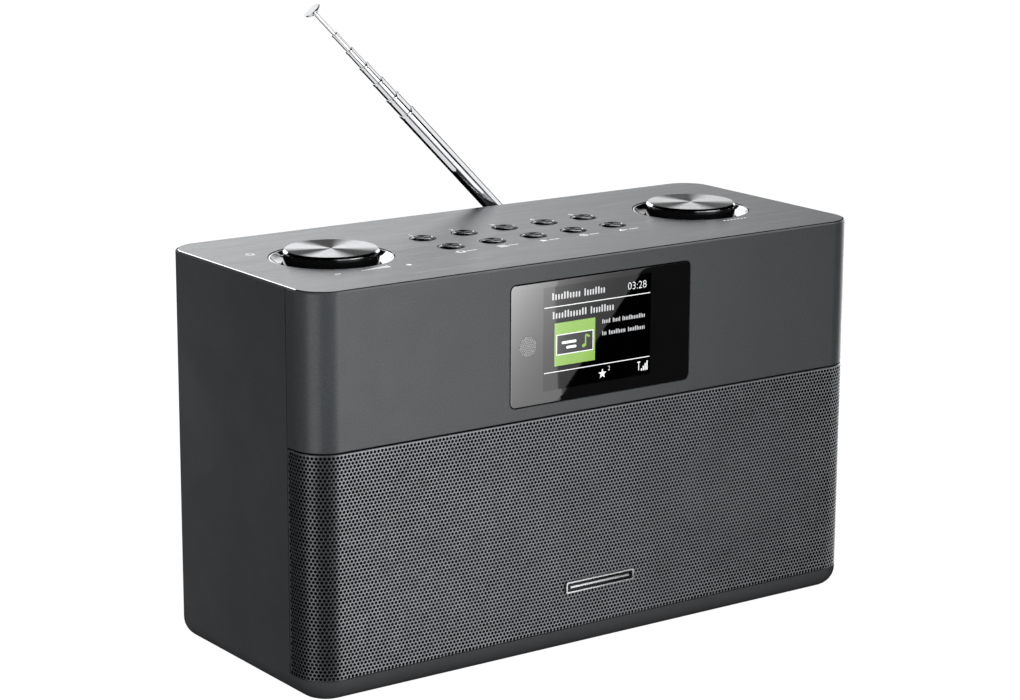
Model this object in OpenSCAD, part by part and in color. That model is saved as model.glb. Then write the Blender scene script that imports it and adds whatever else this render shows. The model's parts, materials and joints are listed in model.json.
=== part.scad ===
// Tabletop radio: a rounded cabinet with a wrap-around front, two spun metal
// knobs, ten top buttons, a colour display and a telescopic rod antenna.
// +X is the listener's right, -Y is the front, +Z is up, millimetres.

/* [Cabinet] */
// Width of the cabinet
body_w = 246; // [240:1:256]
// Depth of the cabinet
body_d = 102; // [100:1:108]
// Height from the cabinet's underside to its top plate
body_h = 147; // [146:1:152]
// Radius of the four upright corners
corner_r = 12; // [10:0.5:14]
// Radius of the rounded bottom edge
bottom_r = 7.2; // [5:0.2:8]
// Wall thickness of the cabinet
wall = 3; // [2.8:0.1:3.4]
// Height of the rubber feet below the cabinet
foot_h = 2; // [1.5:0.5:4]
// How far the front panel and the grille wrap round onto each side
wrap_depth = 17; // [15:0.5:20]

/* [Front] */
// Height of the grille's lower edge
grille_low = 8.3; // [8:0.1:10]
// Height of the line between the grille and the front panel
grille_top = 90; // [88:0.5:92]
// Thickness of the perforated sheet
grille_t = 0.8; // [0.6:0.1:1]
// Thickness of the painted front panel
panel_t = 2.2; // [1.8:0.1:2.4]
// Width of the display window
window_w = 81.6; // [78:0.2:84]
// Height of the display window
window_h = 45.2; // [43:0.2:46]
// Centre height of the display window
window_z = 117.7; // [117:0.1:118]
// Width of the badge bar on the grille
badge_w = 31.5; // [20:0.5:40]

/* [Top] */
// Thickness of the brushed top plate
plate_t = 1.5; // [1.2:0.1:1.6]
// Shadow gap between the top plate and the cabinet's rim
plate_gap = 0.5; // [0.4:0.1:0.8]
// Distance from the middle to each knob
knob_x = 82.4; // [80:0.2:86]
// How far behind the middle the controls sit
control_y = 0.9; // [0:0.1:2]
// Radius of the knobs
knob_r = 17.4; // [16:0.1:17.6]
// Height of the knobs above the top plate
knob_rise = 3; // [2.5:0.1:4]
// Outer radius of the polished wells round the knobs
well_r = 22.45; // [22:0.05:23]
// Spacing of the buttons in both directions
button_pitch = 18.5; // [17:0.1:20]
// Radius of the buttons
button_r = 4.75; // [4.4:0.05:5.2]
// How far a button travels
button_travel = 0.4; // [0.3:0.05:0.45]
// How far a knob presses in
knob_travel = 0.5; // [0.3:0.1:0.5]

/* [Speakers] */
// Distance from the middle to each loudspeaker
speaker_x = 70; // [62:1:76]
// Height of the loudspeakers
speaker_z = 49; // [48:0.5:50]
// Radius of the loudspeaker frame
speaker_r = 35; // [33:0.5:36]

/* [Antenna] */
// Distance from the middle to the antenna's pivot
pivot_x = 48.5; // [40:0.5:60]
// Height of the antenna's pivot
pivot_z = 124.1; // [120:0.1:126]
// Distance of the antenna behind the cabinet
antenna_back = 5.2; // [5:0.1:6]
// Lean of the antenna to the left, degrees from upright
antenna_lean = 45; // [0:1:80]
// Length of the thickest tube, from the pivot
base_tube = 88.8; // [80:0.2:100]
// Length that each inner tube shows
tube_step = 9; // [4:0.5:20]
// Radius of the thickest tube
tube_r = 3.2; // [3.2:0.1:3.6]

/* [Hidden] */
$fn = 64;

// The fork round the antenna's pin reaches this far behind the pin's axis
fork_r = 3.4;
// The cabinet sits ahead of the origin by half of what stands out behind it
body_y = -(antenna_back + fork_r) / 2;
front_y = -body_d / 2;
back_y = body_d / 2;
seam_y = front_y + wrap_depth;
antenna_y = back_y + antenna_back;
rim_h = body_h - plate_t - plate_gap;
rim_chamfer = 0.8;
plate_inset = 0.4;
plate_chamfer = 0.45;
cut = 1;

frame_top = body_h - plate_t;
frame_bottom = frame_top - 3;
frame_lip = 0.5;
baffle_inset = wall;
baffle_t = 3;
baffle_y = front_y + baffle_inset;
baffle_depth = 25;

window_r = 2.5;
window_fit = 0.2;
lens_t = 1.4;
module_w = 60.3;
module_h = 42.7;
module_t = 3.2;
module_x = -2;
badge_h = 4.7;
badge_t = 0.8;
badge_z = 24.2;

board_z = body_h - 17.6;
board_t = 1.6;
switch_top = body_h - 11.7;
encoder_top = body_h - 9.5;
encoder_w = 12.5;
shaft_r = 3;
run_gap = 0.06;
stem_end = switch_top - body_h + button_travel + 0.1;
button_rise = 0.6;
plunger_r = 3.8;
plunger_t = 1.8;
plunger_top = body_h - 13.4;
skirt_r = knob_r - 0.1;
cap_t = 1.25;
well_bore = 18;
well_drop = 2.9;

rebate_t = 1.8;
panel_back_t = 1.6;
panel_back_w = 228;
panel_back_h = 130;
panel_back_z = 75;
panel_back_r = 6;
ledge = 7;
rear_face = back_y - rebate_t + panel_back_t;
screw_x = panel_back_w / 2 - 4.5;
screw_z = panel_back_h / 2 - 4.5;
port_r = 11;
port_z = 72;
main_x = -40;
main_y = 18;
main_z = 9.2;
jack_z = 21.6;
dc_x = -84;
dc_r = 3.15;
audio_xs = [-62, -44];
audio_r = 1.8;
jack_depth = 13;

tube_drop = 0.8;
tube_wall = 0.32;
tube_root = 12;
inner_len = base_tube - tube_root - 2;
rod_r = 0.8;
rod_show = 11.2;
rod_top = base_tube + 5 * tube_step + rod_show;
pin_r = 1.2;
tongue_t = 2.7;
tongue_r = 2.7;

// Names for what is printed or moulded in each colour
shell_colour = "#2f3032";
paint_colour = "#5f6265";
metal_colour = "#9a9c9e";
chrome_colour = "#d8dadc";
black_colour = "#141415";
board_colour = "#1d5a36";

// Places a sub-part in the cabinet: its middle in plan, and its underside
module in_body() translate([0, body_y, foot_h]) children();

// A plain rectangle with round corners, exact arcs
module rounded_rect(w, d, r) {
    square([w - 2 * r, d], center = true);
    square([w, d - 2 * r], center = true);
    for (sx = [-1, 1], sy = [-1, 1])
        translate([sx * (w / 2 - r), sy * (d / 2 - r)]) circle(r);
}

// Half section of a block's rim: a rounded foot and a chamfered top
module rim_section(r, h, foot, top) {
    difference() {
        square([r, h]);
        if (foot > 0)
            translate([r - foot, 0]) difference() {
                square(foot);
                translate([0, foot]) circle(foot);
            }
        if (top > 0)
            polygon([[r - top, h], [r, h - top], [r, h]]);
    }
}

// A block with round upright corners, a rounded foot and a chamfered top
module rounded_block(w, d, h, r, foot = 0, top = 0) {
    for (sx = [0, 1], sy = [0, 1])
        mirror([sx, 0, 0]) mirror([0, sy, 0])
            translate([w / 2 - r, d / 2 - r, 0])
                rotate_extrude(angle = 90) rim_section(r, h, foot, top);
    for (sx = [0, 1])
        mirror([sx, 0, 0]) translate([w / 2 - r, 0, 0])
            rotate([90, 0, 0]) linear_extrude(d - 2 * r, center = true)
                rim_section(r, h, foot, top);
    for (sy = [0, 1])
        mirror([0, sy, 0]) translate([0, d / 2 - r, 0])
            rotate([90, 0, 90]) linear_extrude(w - 2 * r, center = true)
                rim_section(r, h, foot, top);
    translate([0, 0, h / 2]) cube([w - 2 * r, d - 2 * r, h], center = true);
}

// The cabinet's plan, moved in by inset
module plan(inset) rounded_rect(body_w - 2 * inset, body_d - 2 * inset, corner_r - inset);

// A slab of the cabinet's plan between two heights
module plan_slab(inset, low, high)
    translate([0, 0, low]) linear_extrude(high - low) plan(inset);

// The half-space ahead of an upright plane, between two heights
module ahead_of(y, low, high)
    translate([-body_w, y - 2 * body_d, low]) cube([2 * body_w, 2 * body_d, high - low]);

// Turns a shape's own +Z to face the front; its z then counts from the middle plane
module facing_front(x, z) translate([x, 0, z]) rotate([90, 0, 0]) children();

// Turns a shape's own +Z to face the back
module facing_back(x, z) translate([x, 0, z]) rotate([-90, 0, 0]) children();

// Runs its children at the four corners of a rectangle
module at_corners(x, y) for (sx = [-1, 1], sy = [-1, 1]) translate([sx * x, sy * y, 0]) children();

// ---- Enclosure ----

foot_x = body_w / 2 - 32;
foot_y = body_d / 2 - 25;
foot_r = 8;
foot_pocket = 1;
post_x = 48;
post_y = 20;

// The eight places of the screws that hold the rear panel
function rear_screw_places() = concat(
    [for (x = [-1, 0, 1], z = [-1, 1]) [x * screw_x, panel_back_z + z * screw_z]],
    [for (x = [-1, 1]) [x * screw_x, panel_back_z]]);

module cabinet_shell() color(shell_colour) in_body() {
    difference() {
        rounded_block(body_w, body_d, rim_h, corner_r, bottom_r, rim_chamfer);
        plan_slab(wall, wall, body_h);
        ahead_of(seam_y, grille_low, body_h);
        facing_back(0, panel_back_z) {
            linear_extrude(body_d)
                rounded_rect(panel_back_w - 2 * ledge, panel_back_h - 2 * ledge, panel_back_r);
            translate([0, 0, back_y - rebate_t]) linear_extrude(rebate_t + cut)
                rounded_rect(panel_back_w + 0.6, panel_back_h + 0.6, panel_back_r);
        }
        for (p = rear_screw_places())
            facing_back(p[0], p[1]) cylinder(h = body_d, r = 1.5);
        translate([0, 0, -cut]) at_corners(foot_x, foot_y)
            cylinder(h = cut + foot_pocket, r = foot_r + 0.2);
    }
    for (p = rear_screw_places())
        facing_back(p[0], p[1]) translate([0, 0, back_y - wall - 9]) difference() {
            cylinder(h = 9.5, r = 3.4);
            translate([0, 0, -cut]) cylinder(h = 12, r = 1.5);
        }
    translate([main_x, main_y, wall]) at_corners(post_x, post_y) difference() {
        translate([0, 0, -0.5]) cylinder(h = main_z - wall + 0.5, r = 3.2);
        translate([0, 0, 1]) cylinder(h = main_z, r = 1.2);
    }
}

module front_panel() color(paint_colour) in_body() difference() {
    rounded_block(body_w, body_d, rim_h, corner_r, 0, rim_chamfer);
    translate([0, 0, -cut]) linear_extrude(body_h + 2 * cut) plan(panel_t);
    translate([-body_w, seam_y - 0.3, -cut]) cube([2 * body_w, 2 * body_d, body_h + 2 * cut]);
    translate([0, 0, -cut]) linear_extrude(grille_top + 0.5 + cut)
        square([2 * body_w, 2 * body_d], center = true);
    facing_front(0, window_z) linear_extrude(body_d)
        rounded_rect(window_w, window_h, window_r);
}

module speaker_grille() color("#3c3e40") in_body() intersection() {
    translate([0, 0, grille_low + 0.2]) linear_extrude(grille_top - grille_low - 0.2)
        difference() {
            plan(0);
            plan(grille_t);
        }
    ahead_of(seam_y - 0.3, 0, body_h);
}

module front_baffle() color("#1b1b1c") in_body() difference() {
    intersection() {
        translate([0, 0, wall]) linear_extrude(frame_bottom - wall) difference() {
            plan(baffle_inset);
            plan(baffle_inset + baffle_t);
        }
        ahead_of(front_y + baffle_depth, 0, body_h);
    }
    for (sx = [-1, 1])
        facing_front(sx * speaker_x, speaker_z) cylinder(h = body_d, r = 31);
    facing_front(module_x, window_z) translate([0, 0, body_d / 2])
        cube([module_w + 0.6, module_h + 0.6, body_d], center = true);
}

module rear_panel() color("#262728") in_body() difference() {
    facing_back(0, panel_back_z) translate([0, 0, back_y - rebate_t])
        linear_extrude(panel_back_t) rounded_rect(panel_back_w, panel_back_h, panel_back_r);
    for (p = rear_screw_places())
        facing_back(p[0], p[1]) cylinder(h = body_d, r = 1.6);
    facing_back(0, port_z) cylinder(h = body_d, r = port_r + 1.8);
    facing_back(pivot_x, pivot_z) cylinder(h = body_d, r = 7.2);
    facing_back(dc_x, jack_z) cylinder(h = body_d, r = 4.4);
    for (x = audio_xs)
        facing_back(x, jack_z) cylinder(h = body_d, r = 4.2);
    for (i = [0:11], row = [0, 1])
        facing_back(20 + 7 * i, 22 + 9 * row) translate([0, 0, body_d / 4])
            linear_extrude(body_d) {
                square([2, 4], center = true);
                for (s = [-1, 1])
                    translate([0, 2 * s]) circle(1);
            }
}

module top_frame() color("#1b1b1c") in_body() difference() {
    union() {
        plan_slab(1.2, frame_top - frame_lip, frame_top);
        plan_slab(wall + 0.3, frame_bottom, frame_top - frame_lip);
    }
    for (sx = [-1, 1])
        translate([sx * knob_x, control_y, 0]) cylinder(h = body_h, r = well_r + 0.2);
    for (p = button_places())
        translate([p[0], p[1], 0]) {
            cylinder(h = body_h, r = 2.5);
            translate([0, 0, frame_bottom + 1.1]) cylinder(h = body_h, r = button_r + 1.15);
        }
}

module top_plate() color(metal_colour) in_body() difference() {
    translate([0, 0, frame_top])
        rounded_block(body_w - 2 * plate_inset, body_d - 2 * plate_inset, plate_t,
            corner_r - plate_inset, 0, plate_chamfer);
    for (sx = [-1, 1])
        translate([sx * knob_x, control_y, 0]) cylinder(h = 2 * body_h, r = well_r + 0.3);
    for (p = button_places())
        translate([p[0], p[1], 0]) cylinder(h = 2 * body_h, r = button_r + 0.3);
}

// A polished dish round a knob, held up against the frame by its flange
module well(x) color(chrome_colour) in_body() translate([x, control_y, body_h])
    rotate_extrude() polygon([
        [well_bore, -6.2], [well_r + 2, -6.2], [well_r + 2, -4.6], [well_r, -4.6],
        [well_r, -0.3], [well_r - 0.55, -0.3], [well_r - 0.75, -0.45], [well_bore, -well_drop]]);

module volume_well() well(-knob_x);
module select_well() well(knob_x);

module badge_plate() color("#d0d2d4") in_body()
    facing_front(0, badge_z) translate([0, 0, -front_y])
        linear_extrude(badge_t) rounded_rect(badge_w, badge_h, 0.8);

module display_lens() color("#08090a") in_body()
    facing_front(0, window_z) translate([0, 0, -front_y - lens_t]) linear_extrude(lens_t)
        rounded_rect(window_w - 2 * window_fit, window_h - 2 * window_fit, window_r - window_fit);

module display_module() color("#55595c") in_body()
    facing_front(module_x, window_z) translate([0, 0, -front_y - lens_t - 0.1 - module_t / 2])
        cube([module_w, module_h, module_t], center = true);

// ---- Loudspeakers ----
// Their sections are radius and distance ahead of the cabinet's middle plane.

flange_a = -baffle_y - baffle_t;
basket_a = flange_a - 19;

module speaker_frame(x) color("#3a3b3d") in_body() facing_front(x, speaker_z) difference() {
    rotate_extrude() polygon([
        [30, flange_a], [speaker_r, flange_a], [speaker_r, flange_a - 2], [32.5, flange_a - 2],
        [23.5, basket_a + 1], [23.5, basket_a - 0.6], [12, basket_a - 0.6], [12, basket_a + 0.8],
        [22, basket_a + 0.8], [30, flange_a - 2]]);
    for (turn = [0:60:179])
        rotate([0, 0, turn]) translate([0, 0, (flange_a + basket_a) / 2])
            cube([13, 3 * speaker_r, 10], center = true);
}

module speaker_magnet(x) color("#2a2a2b") in_body() facing_front(x, speaker_z)
    translate([0, 0, basket_a - 0.7]) rotate_extrude() polygon([
        [0, -17], [20, -17], [20, -15], [22.5, -15], [22.5, -4], [20, -4], [20, 0],
        [8.8, 0], [8.8, -13], [7.6, -13], [7.6, 0], [0, 0]]);

module speaker_cone(x) color("#222224") in_body() facing_front(x, speaker_z)
    rotate_extrude() polygon([
        [8, basket_a - 8], [8.4, basket_a - 8], [8.4, basket_a + 3.5], [25.8, flange_a - 3],
        [25.8, flange_a - 2.4], [8, basket_a + 4.2]]);

module left_speaker_frame() speaker_frame(-speaker_x);
module left_speaker_magnet() speaker_magnet(-speaker_x);
module left_speaker_cone() speaker_cone(-speaker_x);
module right_speaker_frame() speaker_frame(speaker_x);
module right_speaker_magnet() speaker_magnet(speaker_x);
module right_speaker_cone() speaker_cone(speaker_x);

module speaker_surrounds() color("#18181a") in_body()
    for (sx = [-1, 1])
        facing_front(sx * speaker_x, speaker_z) rotate_extrude()
            translate([27.7, flange_a - 2.3]) {
                difference() {
                    circle(2.2);
                    circle(1.75);
                    translate([-5, -10]) square([10, 10]);
                }
                translate([-2.9, 0]) square([1, 0.5]);
            }

module dust_caps() color("#2b2b2d") in_body()
    for (sx = [-1, 1])
        facing_front(sx * speaker_x, speaker_z) rotate_extrude()
            translate([0, basket_a - 1]) intersection() {
                difference() {
                    circle(11.4);
                    circle(10.9);
                }
                translate([0, 6.8]) square([12, 12]);
            }

module bass_port() color("#1b1b1c") in_body() facing_back(0, port_z)
    rotate_extrude() polygon([
        [port_r, back_y - 40], [port_r + 1.5, back_y - 40], [port_r + 1.5, rear_face],
        [port_r + 6, rear_face], [port_r + 6, rear_face + 0.5], [port_r + 5.3, rear_face + 1.2],
        [port_r + 2.5, rear_face + 1.2], [port_r, rear_face - 1.3]]);

// ---- Electronics ----

module main_board() color(board_colour) in_body() translate([main_x, main_y, main_z])
    difference() {
        translate([0, 0, board_t / 2]) cube([110, 52, board_t], center = true);
        translate([0, 0, -cut]) at_corners(post_x, post_y) cylinder(h = 4, r = 1.6);
    }

module heat_sink() color(metal_colour) in_body()
    translate([main_x + 20, main_y - 4, main_z + board_t]) {
        translate([-18, -12, 0]) cube([36, 24, 3]);
        for (i = [0:6])
            translate([-18 + 5.75 * i, -12, 2.5]) cube([1.5, 24, 14]);
    }

// A socket on the main board's rear edge, with its nose through the rear panel
module socket(x, w, h, nose_r, bore_r) {
    low = main_z + board_t + 0.1;
    difference() {
        union() {
            translate([x - w / 2, rear_face - panel_back_t - jack_depth, low])
                cube([w, jack_depth - 1.4, h]);
            facing_back(x, jack_z) translate([0, 0, rear_face - panel_back_t - 2])
                cylinder(h = panel_back_t + 2, r = nose_r);
        }
        facing_back(x, jack_z) translate([0, 0, rear_face - jack_depth])
            cylinder(h = jack_depth + cut, r = bore_r);
    }
}

module dc_jack() color(black_colour) in_body() socket(dc_x, 10, 14, 4.2, dc_r);

module audio_jacks() color(black_colour) in_body()
    for (x = audio_xs)
        socket(x, 9, 13, 4, audio_r);

module control_board() color(board_colour) in_body()
    translate([0, control_y, board_z]) difference() {
        translate([0, 0, board_t / 2]) cube([216, 46, board_t], center = true);
        translate([0, 0, -cut]) at_corners(102, 18) cylinder(h = 4, r = 1.6);
    }

// The middles of the ten buttons: presets behind, functions ahead
function button_places() = [for (row = [1, -1], i = [-2:2])
    [i * button_pitch, control_y + row * button_pitch / 2]];

module tact_switches() color("#303133") in_body()
    for (p = button_places())
        translate([p[0], p[1], board_z + board_t]) {
            translate([-3, -3, 0]) cube([6, 6, 3.4]);
            cylinder(h = switch_top - board_z - board_t, r = 1.7);
        }

// ---- Knobs ----

// A rotary encoder: its case holds the shaft and the push switch's plunger
module encoder(x) color("#8e9092") in_body() translate([x, control_y, 0]) difference() {
    union() {
        translate([-encoder_w / 2, -encoder_w / 2, board_z + board_t])
            cube([encoder_w, encoder_w, encoder_top - board_z - board_t]);
        translate([0, 0, encoder_top]) cylinder(h = 2.2, r = 4.6);
    }
    translate([0, 0, plunger_top - plunger_t - knob_travel - 0.1])
        cylinder(h = plunger_t + knob_travel + 0.7, r = plunger_r + 0.3);
    translate([0, 0, plunger_top]) cylinder(h = body_h, r = shaft_r + run_gap);
}

module plunger(x) color("#e6e2d8") in_body()
    translate([x, control_y, plunger_top - plunger_t]) cylinder(h = plunger_t, r = plunger_r);

module shaft(x) color("#b9bbbd") in_body()
    translate([x, control_y, plunger_top + 0.1])
        cylinder(h = body_h - plunger_top - 0.1, r = shaft_r);

// The black skirt of a knob, with the hub that grips the shaft
module knob_core(x) color(black_colour) in_body() translate([x, control_y, body_h])
    rotate_extrude() polygon([
        [shaft_r + 0.02, -4.6], [5.2, -4.6], [5.2, 0.1], [skirt_r - 1.8, 0.1],
        [skirt_r - 1.8, -5.4], [skirt_r, -5.4], [skirt_r, knob_rise - cap_t],
        [14, knob_rise - cap_t], [14, knob_rise - cap_t - 0.6], [0, knob_rise - cap_t - 0.6],
        [0, 0.05], [shaft_r + 0.02, 0.05]]);

// The spun metal cap, with its bevel, seated in the skirt
module knob_cap(x) color("#b4b6b8") in_body() translate([x, control_y, body_h + knob_rise])
    rotate_extrude() polygon([
        [0, 0], [knob_r - 0.6, 0], [knob_r, -0.75], [knob_r, -cap_t],
        [13.9, -cap_t], [13.9, -cap_t - 0.6], [0, -cap_t - 0.6]]);

module volume_encoder() encoder(-knob_x);
module volume_plunger() plunger(-knob_x);
module volume_shaft() shaft(-knob_x);
module volume_knob_core() knob_core(-knob_x);
module volume_knob_cap() knob_cap(-knob_x);
module select_encoder() encoder(knob_x);
module select_plunger() plunger(knob_x);
module select_shaft() shaft(knob_x);
module select_knob_core() knob_core(knob_x);
module select_knob_cap() knob_cap(knob_x);

// ---- Buttons ----

// A bevelled button with a keeper flange and a long stem down to its switch
module button(index) color(black_colour) in_body()
    translate([button_places()[index][0], button_places()[index][1], body_h])
        rotate_extrude() polygon([
            [0, stem_end], [2.2, stem_end], [2.2, -2.6], [button_r + 0.85, -2.6],
            [button_r + 0.85, -1.8], [button_r, -1.8], [button_r, 0],
            [button_r - 0.7, button_rise], [0, button_rise]]);

module preset_button_1() button(0);
module preset_button_2() button(1);
module preset_button_3() button(2);
module preset_button_4() button(3);
module preset_button_5() button(4);
module home_button() button(5);
module menu_button() button(6);
module favourite_button() button(7);
module alarm_button() button(8);
module back_button() button(9);

// ---- Antenna ----

// A frame whose +Z runs along the leaning antenna, from its pivot
module on_antenna() in_body() translate([pivot_x, antenna_y, pivot_z])
    rotate([0, -antenna_lean, 0]) children();

bush_in = back_y - 13;
flange_out = rear_face + 0.8;

module antenna_bracket() color("#2a2b2c") in_body() facing_back(pivot_x, pivot_z)
    rotate_extrude() polygon([
        [4.05, bush_in], [7, bush_in], [7, rear_face], [9, rear_face],
        [9, flange_out], [4.05, flange_out]]);

module antenna_swivel() color(chrome_colour) {
    head_in = flange_out + 0.3;
    head_out = back_y + 2.2;
    in_body() facing_back(pivot_x, pivot_z) {
        translate([0, 0, bush_in - 1.8]) cylinder(h = 1.5, r = 5.6);
        translate([0, 0, bush_in - 1]) cylinder(h = head_in - bush_in + 1.5, r = 4);
        translate([0, 0, head_in]) cylinder(h = head_out - head_in, r = 6.2);
    }
    on_antenna() for (sx = [-1, 1])
        translate([sx * (tongue_t / 2 + 0.3 + 0.9), 0, 0]) rotate([0, 90, 0]) difference() {
            union() {
                cylinder(h = 1.8, r = fork_r, center = true);
                translate([0, (head_out - 0.5 - antenna_y) / 2, 0])
                    cube([2 * fork_r - 0.4, antenna_y - head_out + 0.5, 1.8], center = true);
            }
            cylinder(h = 4, r = pin_r + 0.01, center = true);
        }
}

module antenna_pin() color("#8e9092") on_antenna() rotate([0, 90, 0])
    cylinder(h = tongue_t + 5.4, r = pin_r, center = true);

module antenna_tube_1() color(chrome_colour) on_antenna() difference() {
    union() {
        translate([0, 0, 8]) cylinder(h = base_tube - 8, r = tube_r);
        rotate([0, 90, 0]) cylinder(h = tongue_t, r = tongue_r, center = true);
        translate([0, 0, 4.25]) cube([tongue_t, 2 * tongue_r - 0.3, 8.5], center = true);
    }
    translate([0, 0, tube_root]) cylinder(h = base_tube, r = tube_r - tube_wall);
    rotate([0, 90, 0]) cylinder(h = 8, r = pin_r + 0.05, center = true);
}

// An inner tube, counted from the thickest; each hides most of its length in the one before
module antenna_tube(i) color(chrome_colour) on_antenna()
    translate([0, 0, base_tube + (i - 1) * tube_step - inner_len]) difference() {
        cylinder(h = inner_len, r = tube_r - (i - 1) * tube_drop / 2);
        translate([0, 0, -cut])
            cylinder(h = inner_len + 2 * cut, r = tube_r - (i - 1) * tube_drop / 2 - tube_wall);
    }

module antenna_tube_2() antenna_tube(2);
module antenna_tube_3() antenna_tube(3);
module antenna_tube_4() antenna_tube(4);
module antenna_tube_5() antenna_tube(5);
module antenna_tube_6() antenna_tube(6);

module antenna_rod() color(chrome_colour) on_antenna()
    translate([0, 0, rod_top - inner_len]) cylinder(h = inner_len, r = rod_r);

module antenna_tip() color(chrome_colour) on_antenna() translate([0, 0, rod_top])
    rotate_extrude() {
        polygon([[0, 0], [1.5, 0], [1.5, 1], [3.4, 1.7], [3.5, 2], [0, 2]]);
        intersection() {
            translate([0, 2 - 5.2]) circle(6.27);
            translate([0, 1.9]) square([3.5, 2]);
        }
    }

// ---- Fasteners and feet ----

module rear_screws() color("#6a6c6e") in_body()
    for (p = rear_screw_places())
        facing_back(p[0], p[1]) difference() {
            union() {
                translate([0, 0, rear_face]) cylinder(h = 1.5, r = 2.8);
                translate([0, 0, rear_face - 9]) cylinder(h = 9.5, r = 1.4);
            }
            for (turn = [0, 90])
                rotate([0, 0, turn]) translate([0, 0, rear_face + 1.1])
                    cube([0.7, 3, 1.2], center = true);
        }

module feet() color(black_colour) in_body() translate([0, 0, -foot_h])
    at_corners(foot_x, foot_y) cylinder(h = foot_h + foot_pocket - 0.1, r = foot_r);

cabinet_shell();
front_panel();
speaker_grille();
front_baffle();
rear_panel();
top_frame();
top_plate();
volume_well();
select_well();
badge_plate();
display_lens();
display_module();
left_speaker_frame();
left_speaker_magnet();
left_speaker_cone();
right_speaker_frame();
right_speaker_magnet();
right_speaker_cone();
speaker_surrounds();
dust_caps();
bass_port();
main_board();
heat_sink();
dc_jack();
audio_jacks();
control_board();
tact_switches();
volume_encoder();
volume_plunger();
volume_shaft();
volume_knob_core();
volume_knob_cap();
select_encoder();
select_plunger();
select_shaft();
select_knob_core();
select_knob_cap();
preset_button_1();
preset_button_2();
preset_button_3();
preset_button_4();
preset_button_5();
home_button();
menu_button();
favourite_button();
alarm_button();
back_button();
antenna_bracket();
antenna_swivel();
antenna_pin();
antenna_tube_1();
antenna_tube_2();
antenna_tube_3();
antenna_tube_4();
antenna_tube_5();
antenna_tube_6();
antenna_rod();
antenna_tip();
rear_screws();
feet();
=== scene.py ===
"""The looks of the tabletop radio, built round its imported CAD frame.

Shapes are written in millimetres from the middle of the cabinet's underside:
+X is the listener's right, -Y is the front and +Z is up. Shape.make() moves
them into the frame, in metres.
"""
import json
import math

import bmesh
import bpy
import numpy as np
from mathutils import Matrix, Vector
from mathutils.geometry import tessellate_polygon

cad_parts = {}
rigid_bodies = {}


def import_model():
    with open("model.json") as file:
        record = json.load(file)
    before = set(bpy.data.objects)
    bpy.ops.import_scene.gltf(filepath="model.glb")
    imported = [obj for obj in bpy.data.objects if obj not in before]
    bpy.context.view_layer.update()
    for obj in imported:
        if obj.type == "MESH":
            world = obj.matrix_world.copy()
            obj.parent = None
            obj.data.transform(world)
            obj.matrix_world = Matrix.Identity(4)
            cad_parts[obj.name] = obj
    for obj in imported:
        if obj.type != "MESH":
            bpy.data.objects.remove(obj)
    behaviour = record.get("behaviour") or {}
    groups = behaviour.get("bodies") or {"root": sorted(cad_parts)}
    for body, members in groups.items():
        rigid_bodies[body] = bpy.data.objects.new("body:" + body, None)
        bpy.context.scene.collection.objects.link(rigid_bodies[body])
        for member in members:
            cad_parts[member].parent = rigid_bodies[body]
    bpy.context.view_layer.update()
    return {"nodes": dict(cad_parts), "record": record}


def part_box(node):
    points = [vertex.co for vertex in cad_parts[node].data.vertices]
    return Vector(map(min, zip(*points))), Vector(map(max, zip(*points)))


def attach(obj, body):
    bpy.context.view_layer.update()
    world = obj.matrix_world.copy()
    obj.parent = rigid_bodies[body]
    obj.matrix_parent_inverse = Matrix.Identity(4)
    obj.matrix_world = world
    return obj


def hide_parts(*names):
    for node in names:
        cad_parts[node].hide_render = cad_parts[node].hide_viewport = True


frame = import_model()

MM = 0.001


def measure(node):
    """Middle and size of a CAD node, millimetres from the middle of the cabinet's underside."""
    low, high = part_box(node)
    return ((low + high) / 2 - ORIGIN) / MM, (high - low) / MM


shell_low, shell_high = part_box("cabinet_shell")
ORIGIN = Vector(((shell_low.x + shell_high.x) / 2, (shell_low.y + shell_high.y) / 2, shell_low.z))

# ---- Sizes that follow the frame ----

plate_mid, plate_size = measure("top_plate")
panel_mid, panel_size = measure("front_panel")
grille_mid, grille_size = measure("speaker_grille")
lens_mid, lens_size = measure("display_lens")
badge_mid, badge_size = measure("badge_plate")
rear_mid, rear_size = measure("rear_panel")

WIDTH, DEPTH, RIM_TOP = measure("cabinet_shell")[1]
FRONT_Y = -DEPTH / 2
BACK_Y = DEPTH / 2
PLATE_TOP = plate_mid.z + plate_size.z / 2
PLATE_LOW = plate_mid.z - plate_size.z / 2
CORNER_R = 12.0
BOTTOM_R = 7.2
WALL = 3.0
SEAM_GAP = 0.3                   # between the painted panel's ends and the cabinet
SEAM_Y = FRONT_Y + panel_size.y + SEAM_GAP
STRIP_TOP = grille_mid.z - grille_size.z / 2 - 0.2
LIP_TOP = PLATE_TOP - 0.22       # the cabinet's rim stands round the sunken plate
LIP_CHAMFER = 0.5
LIP_DEPTH = 0.7
UNDER_PLATE = PLATE_LOW - 0.05
REAR_FACE = rear_mid.y + rear_size.y / 2

# ---- Meshes ----


def arc(x, y, radius, start, end, steps):
    """Points on a circle's arc, angles in degrees."""
    turns = np.radians(np.linspace(start, end, steps + 1))
    return [(x + radius * math.cos(t), y + radius * math.sin(t)) for t in turns]


def rounded(width, height, radius, x=0.0, y=0.0, steps=8):
    """An outline function: a rectangle with round corners, moved in by an inset."""
    def outline(inset):
        r = max(radius - inset, 0.01)
        a, b = width / 2 - inset - r, height / 2 - inset - r
        corners = [(a, b, 0), (-a, b, 90), (-a, -b, 180), (a, -b, 270)]
        return [p for cx, cy, turn in corners for p in arc(x + cx, y + cy, r, turn, turn + 90, steps)]
    return outline


def disc(radius, x=0.0, y=0.0, steps=48):
    """An outline function: a circle, moved in by an inset."""
    def outline(inset):
        return arc(x, y, max(radius - inset, 0.01), 0, 360, steps)[:-1]
    return outline


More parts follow.
